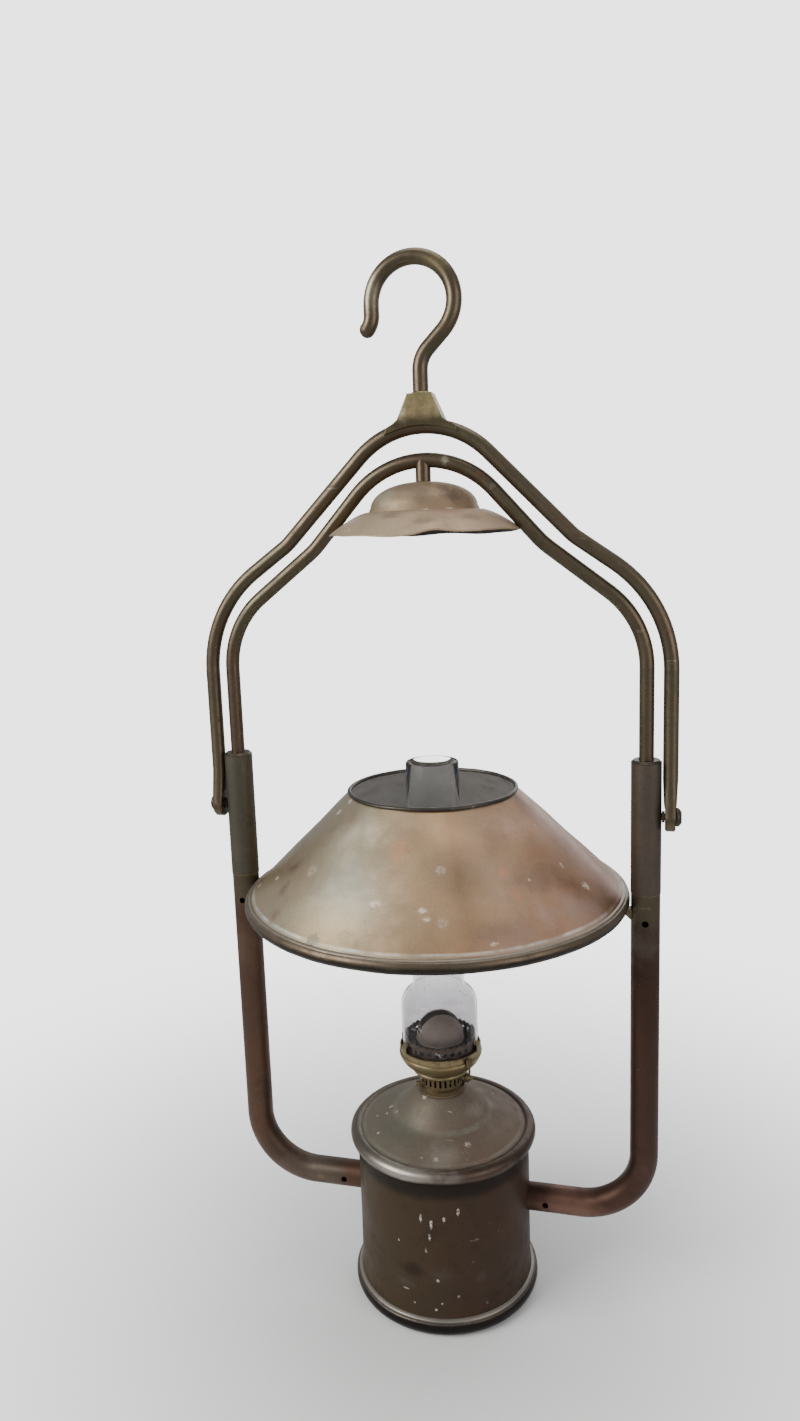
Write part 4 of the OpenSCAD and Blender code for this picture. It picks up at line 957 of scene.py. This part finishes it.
# the foot: a high roll with a crease at its shoulder
foot = {"steps": 40, "creaseAt": 44, "creaseDeep": 0.0006, "creaseWide": 7, "around": 160, "wall": 0.0009}
footLine = []
for k in range(foot["steps"] + 1):
    a = 104 - 194 * k / foot["steps"]
    r = footTube - foot["creaseDeep"] * max(0, 1 - abs(a - foot["creaseAt"]) / foot["creaseWide"])
    footLine.append((footR + r * cosOf(a), max(footZ + r * sinOf(a), footLow.z)))
inner = [(footR + (r - footR) * 0.86, max(footZ + (z - footZ) * 0.86, footLow.z + foot["wall"]))
         for r, z in reversed(footLine)]
footRoll = turned("footRoll", footLine + inner + [footLine[0]], foot["around"], 45)
unevenly(footRoll, 0.03, 0.0003, 41, lambda co: 1.0 if co.z > footLow.z + 0.003 else 0.0)
settle(footRoll, 45)

rollLook = {**beadLook, "base": (0.1, 0.088, 0.074), "warm": (0.108, 0.088, 0.072), "dark": (0.045, 0.039, 0.034),
            "pale": (0.3, 0.28, 0.25), "cloud": 22, "metal": 0.65, "gloss": 0.15}
# the near-black lower half of the roll is painted shade, the pale band on its top painted highlight
footLook = {**rollLook, "bands": [
    (footZ + 0.004, footZ + 0.0028, (0.01, 0.008, 0.008), 0.94),
    (footZ + 0.0044, footZ + 0.0052, (0.3, 0.275, 0.24), 0.85)]}
# the pale patch on the upper front is painted highlight; the dark band underneath and the darker right side are
# painted shade
ringLook = {**rollLook, "base": (0.115, 0.1, 0.083), "warm": (0.125, 0.1, 0.08),
            "lean": 0.9, "width": 0.05, "leanLeft": (1.1, 1.12, 1.1), "leanRight": (0.62, 0.5, 0.46),
            "marks": [(onRound(ringR + ringTube * 0.8, -100, ringZ + 0.0028), (0.052, 0.006),
                       (0.36, 0.325, 0.285), 0.95, 0.8)],
            "bands": [(ringZ - 0.0002, ringZ - 0.003, (0.012, 0.01, 0.009), 0.95)]}
place(footRoll, "lantern", "font_ring", "font_foot_ring", agedMetal("footRollWearAndShading", footLook))

topRoll = turned("topRoll", arcLine(ringR, ringZ, ringTube, 0, 360, 40), 160, 60)
unevenly(topRoll, 0.03, 0.0003, 44)
place(settle(topRoll, 60), "lantern", "font_ring", "font_top_ring", agedMetal("topRollWearAndShading", ringLook))
dress(fontFinish, "font_base")

# the lid: a wide dish, a soft crease and a cone up to the collar
lid = {"sheet": 0.0011, "wave": 0.0005, "neckR": 0.0183}
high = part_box("font_lid")[1]
edgeR, edgeZ = ringR - ringTube * 0.42, ringZ + ringTube * 0.8
creaseZ = high.z - 0.0188
top = [(edgeR, edgeZ - 0.0012), (edgeR - 0.0007, edgeZ + 0.0002), (edgeR - 0.0018, edgeZ + 0.0006)]
top += flowing([(edgeR - 0.003, edgeZ + 0.0009), (0.051, creaseZ - 0.0042), (0.0425, creaseZ - 0.0012),
                (0.0375, creaseZ + 0.001), (0.0345, creaseZ + 0.0031), (0.0295, creaseZ + 0.008),
                (0.0235, creaseZ + 0.0142), (lid["neckR"] + 0.0006, creaseZ + 0.018),
                (lid["neckR"] - 0.0006, high.z - 0.0003), (0.0165, high.z)], 5)
top.append((0.0155, high.z))
lidPiece = turned("lidSheet", shell(top, 0, -lid["sheet"]), 160, 40)
unevenly(lidPiece, 0.03, lid["wave"], 51,
         lambda co: clamped((co.xy.length - 0.02) / 0.01) * clamped((edgeR - co.xy.length) / 0.008))
place(settle(lidPiece, 40), "lantern", "lid", "font_lid", lidFinish)
placeCopy("fillerCollar", "filler_collar", 35, "lantern", "burner", burnerFinish)
print("font done")


# burner
placeCopy("burnerDrum", "burner_base", 30, "burner", "burner", drumFinish)

gallery = {"sheet": 0.0009, "around": 144, "fingers": (-10, 40, 170, 220), "fingerSize": (1, 0.0062, 0.0044)}
low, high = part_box("burner_gallery")
bandR, bandTop, bowlZ = high.x, high.z - 0.007, low.z
line = rounded([(0.0155, bowlZ), (0.02, bowlZ), (0.0214, bowlZ + 0.0013), (0.0214, bowlZ + 0.003),
                (0.0203, bowlZ + 0.0038)], 0.0007)
line += flowing([(0.0212, bowlZ + 0.0046), (0.025, bowlZ + 0.0068), (0.0288, bowlZ + 0.0102),
                 (bandR - 0.0003, bowlZ + 0.0142)], 5)
line += arcLine(bandR - 0.0013, bowlZ + 0.0156, 0.0013, -20, 75, 6)
line += [(bandR - 0.0012, bandTop - 0.002), (bandR - 0.0006, bandTop)]
back = [(max(r - gallery["sheet"], 0.015), z + 0.0004) for r, z in reversed(line)]
parts = [turned("galleryBowl", line + back + [line[0]], gallery["around"], 40)]
for at in gallery["fingers"]:  # spring fingers, bent in a little at their tips
    calm()
    root = (bandR - 0.0009, 0, bandTop + 0.001)
    bpy.ops.mesh.primitive_plane_add(size=1, location=root, rotation=(0, math.pi / 2, 0))
    finger = bpy.context.object
    fixPlace()
    editAll()
    bpy.ops.transform.resize(value=gallery["fingerSize"], center_override=root)
    mode("OBJECT")
    pickParts(finger, "edges",
              lambda edge: min(finger.data.vertices[i].co.z for i in edge.vertices) > bandTop + 0.002)
    for shift, rise, narrow in ((-0.0006, 0.0016, 0.96), (-0.0007, 0.0014, 0.9), (0.0003, 0.0006, 0.72)):
        drawOut((shift, 0, rise), (1, narrow, 1))
    mode("OBJECT")
    wall = finger.modifiers.new("sheet", "SOLIDIFY")
    wall.thickness, wall.offset = gallery["sheet"] * 0.7, 0
    applyAll(finger)
    spun(finger, at)
    parts.append(finger)
place(settle(joined("gallery", parts), 38), "burner", "burner", "burner_gallery", burnerFinish)

# the catch: a worn plate on the band, and a thin stalk with a bead to pull it by
pull = {"turn": -37, "round": 0.0006, "bead": 0.002, "stalk": 0.0008, "reach": 0.03195}
low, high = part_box("gallery_catch")
reach, stalkR, ballR = pull["reach"], pull["stalk"], pull["bead"]
ballZ = low.z + ballR
plate = cubeOf("plate", (reach, 0, high.z - 0.003), (0.0015, 0.0058, 0.0058))
pickParts(plate, "polygons", lambda face: face.normal.z < -0.9)
drawOut((0, 0, -0.0016), (0.8, 0.35, 1), center_override=(reach, 0, high.z - 0.0075))
mode("OBJECT")
soften(plate, pull["round"], 3, 30)
ball = [(ballR * cosOf(a), ballZ + ballR * sinOf(a)) for a in range(60, -90, -15)]
stalk = turned("pull", [(0, high.z - 0.006), (stalkR, high.z - 0.006), (stalkR, high.z - 0.009),
                        (stalkR * 1.3, high.z - 0.0096), (stalkR, high.z - 0.0102),
                        (stalkR * 0.9, ballZ + ballR * 0.95), *ball, (0, ballZ - ballR)], 28, 40)
stalk.data.transform(Matrix.Translation((reach, 0, 0)))
catch = joined("galleryCatch", [plate, stalk])
spun(catch, pull["turn"])
unevenly(catch, 0.004, 0.0001, 61)
place(settle(catch, 38), "burner", "burner", "gallery_catch", drumFinish)

# the pierced crown: a thin ring with a toothed edge, standing on the seat of the glass
crown = {"sheet": 0.0007, "gap": 0.0022, "around": 144, "holes": 28, "holeR": 0.0017, "holeUp": 0.0075,
         "teeth": 36, "notch": 0.0023, "seat": 0.0008}
low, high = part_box("burner_crown")
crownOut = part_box("chimney")[1].x - crown["gap"]
crownIn, seatTop = crownOut - crown["sheet"], low.z + crown["seat"]
crownRing = turned("crownRing", [(crownOut, high.z), (crownOut, seatTop), (high.x, seatTop), (high.x, low.z),
                                 (crownIn, low.z), (crownIn, high.z), (crownOut, high.z)], crown["around"], 40)
cutters = []
for k in range(crown["holes"]):
    a = 360 * (k + 0.5) / crown["holes"]
    calm()
    bpy.ops.mesh.primitive_cylinder_add(
        vertices=16, radius=crown["holeR"], depth=0.004, rotation=(0, math.pi / 2, math.radians(a)),
        location=onRound(crownOut, a, low.z + crown["holeUp"]))
    cutters.append(bpy.context.object)
for k in range(crown["teeth"]):
    a = 360 * k / crown["teeth"]
    calm()
    bpy.ops.mesh.primitive_cube_add(size=crown["notch"], rotation=(math.pi / 4, 0, math.radians(a)),
                                    location=onRound(crownOut, a, high.z))
    cutters.append(bpy.context.object)
carved(crownRing, joined("crownCut", cutters))
place(settle(crownRing, 35), "burner", "deflector", "burner_crown", crownFinish)
placeCopy("flameDome", "flame_deflector", 35, "burner", "deflector", deflectorFinish)
dress(burnerFinish, "wick_tube", "wick_spindle", "wick_spurs")
placeCopy("milledKnob", "wick_knob", 30, "winder", "burner", burnerFinish)

# the wick: woven cotton, charred and ragged at the top
wickLow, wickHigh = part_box("wick")
wickTall = wickHigh.z - wickLow.z
wickLook = {"wide": 0.016, "thick": 0.0022, "turn": 23, "threads": 380,
            "thread": (0.62, 0.55, 0.42), "shade": (0.36, 0.3, 0.2), "oil": (0.3, 0.22, 0.11),
            "char": (0.02, 0.017, 0.014), "charFrom": wickHigh.z - 0.006, "charTo": wickHigh.z - 0.002}
wick = cubeOf("wickStrip", (0, 0, (wickLow.z + wickHigh.z) / 2), (wickLook["wide"], wickLook["thick"], wickTall))
editAll()
bpy.ops.mesh.subdivide(number_cuts=10)
mode("OBJECT")
for v in wick.data.vertices:
    if v.co.z > wickHigh.z - 0.0005:
        frayed = 0.0009 * (0.5 + 0.5 * noise.noise(v.co * 900))
        v.co.z -= frayed + 0.0006 * (v.co.x / wickLook["wide"] * 2) ** 4
soften(wick, 0.0004, 2, 60)
spun(wick, wickLook["turn"])
place(settle(wick, 60), "wick_strip", "wick", "wick", cottonFinish("wickCotton", wickLook))
print("burner done")


# glass chimney
glassTube = {"wall": 0.0012, "around": 128, "flue": 0.019, "neckUp": 0.036}
low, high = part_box("chimney")
glassR, flueR = high.x, glassTube["flue"]
neckZ = low.z + glassTube["neckUp"]
shoulder = (glassR - flueR) * 1.5
outer = [(glassR, low.z + 0.0004), (glassR, low.z + 0.01), (glassR, neckZ - 0.006)]
outer += [(glassR - shoulder * (1 - cosOf(a)), neckZ + shoulder * sinOf(a)) for a in range(0, 60, 6)]
outer += flowing([(glassR - shoulder * 0.47, neckZ + shoulder * 0.85), (flueR + 0.0012, neckZ + shoulder * 0.97),
                  (flueR + 0.0003, neckZ + 0.016), (flueR, neckZ + 0.02)], 5)
outer += [(flueR, neckZ + 0.06), (flueR, high.z - 0.03), (flueR, high.z - 0.0008),
          (flueR - glassTube["wall"] * 0.5, high.z)]
inner = [(r - glassTube["wall"], z) for r, z in reversed(outer[:-1])]
glass = turned("chimneyGlass", outer + inner + [outer[0]], glassTube["around"], 60)
glints = [
    (0.0191, -44, -0.5045, 0.0014, 0.0009, 0.9), (0.0206, -94, -0.5086, 0.0013, 0.0013, 0.6),
    (0.0256, -39, -0.5136, 0.0015, 0.0014, 1.0), (0.0237, -13, -0.5114, 0.0018, 0.0022, 0.6),
    (0.0266, -54, -0.5153, 0.0024, 0.001, 0.45), (0.0255, -98, -0.5135, 0.0018, 0.001, 0.35),
    (0.0233, -67, -0.5112, 0.0011, 0.0008, 0.5)]
glassLook = {"clear": (0.975, 0.98, 0.98), "hazy": (0.9, 0.9, 0.89), "soot": (0.6, 0.585, 0.6), "roughest": 0.02,
             "through": 0.985, "sootTo": neckZ + 0.045, "sootFrom": neckZ + 0.01, "glints": placedOn(glints)}
place(glass, "glass_chimney", "glass", "chimney", glassFinish("hazyGlass", glassLook))
print("chimney done")


# floor, light and camera
stage = {"floor": 6, "fadeFrom": 0.1, "fadeTo": 0.75, "tone": (0.93, 0.93, 0.925, 1), "room": 0.42, "paper": 3.0}
calm()
bpy.ops.mesh.primitive_plane_add(size=stage["floor"], location=(0, 0, cadLow.z))
floor = bpy.context.object
floor.name = "paleFloor"
fixPlace()
floorFinish = bpy.data.materials.new("paleFloor")
floorFinish.use_nodes = True
floorTree = floorFinish.node_tree
floorSkin = floorTree.nodes["Principled BSDF"]
floorSkin.inputs["Base Color"].default_value = stage["tone"]
floorSkin.inputs["Roughness"].default_value = 0.9
# the floor fades out into the pale room around it
away = lengthOf(stretchedPlace(knot(floorTree, "ShaderNodeTexCoord").outputs["Object"], (1, 1, 0)))
fade = knot(floorTree, "ShaderNodeMixShader")
tie(ramp(away, stage["fadeFrom"], stage["fadeTo"]), fade.inputs[0])
tie(floorSkin.outputs[0], fade.inputs[1])
tie(knot(floorTree, "ShaderNodeBsdfTransparent").outputs[0], fade.inputs[2])
tie(fade.outputs[0], floorTree.nodes["Material Output"].inputs[0])
floor.data.materials.append(floorFinish)

world = bpy.data.worlds.new("studio")
world.use_nodes = True
sky = world.node_tree
sky.nodes.clear()
room = knot(sky, "ShaderNodeBackground", Strength=stage["room"], Color=(0.93, 0.96, 1.0, 1))
paper = knot(sky, "ShaderNodeBackground", Strength=stage["paper"], Color=(1, 1, 1, 1))
pick = knot(sky, "ShaderNodeMixShader")
path = knot(sky, "ShaderNodeLightPath").outputs
straight = times(path["Is Transmission Ray"], sums("LESS_THAN", path["Diffuse Depth"], 0.5))
tie(larger(path["Is Camera Ray"], straight), pick.inputs[0])
tie(room.outputs[0], pick.inputs[1])
tie(paper.outputs[0], pick.inputs[2])
tie(pick.outputs[0], knot(sky, "ShaderNodeOutputWorld").inputs[0])
bpy.context.scene.world = world

lamps = {  # place, size, power and colour
    "softKey": ((-1.3, -1.1, 0.45), 1.1, 34, (1.0, 0.99, 0.96)),
    "softFill": ((1.5, -0.9, 0.1), 1.2, 10, (1.0, 0.95, 0.9)),
    "topLight": ((0.1, 0.2, 1.3), 1.2, 12, (1, 1, 1)),
    "backGlow": ((0.3, 1.7, 0.3), 1.6, 10, (0.97, 0.98, 1.0)),
}
middle = (cadLow + cadHigh) / 2
for name, (at, size, power, colour) in lamps.items():
    light = bpy.data.lights.new(name, "AREA")
    light.shape, light.size, light.energy, light.color = "SQUARE", size, power, colour
    lamp = bpy.data.objects.new(name, light)
    lamp.location = at
    lamp.rotation_mode = "QUATERNION"
    lamp.rotation_quaternion = (middle - Vector(at)).to_track_quat("-Z", "Y")
    bpy.context.scene.collection.objects.link(lamp)

eye = {"at": (0.1564, -0.6847, -0.18), "lens": 25.34, "heading": 14.63, "down": 9.628, "roll": -2.031}
camera = bpy.data.objects.new("camera", bpy.data.cameras.new("camera"))
camera.data.lens, camera.data.sensor_width = eye["lens"], 36
turns = ((eye["heading"], "Z"), (90 - eye["down"], "X"), (eye["roll"], "Z"))
heading, pitch, roll = (Matrix.Rotation(math.radians(angle), 4, axis) for angle, axis in turns)
camera.matrix_world = Matrix.Translation(eye["at"]) @ heading @ pitch @ roll
bpy.context.scene.collection.objects.link(camera)
bpy.context.scene.camera = camera
print("stage set")
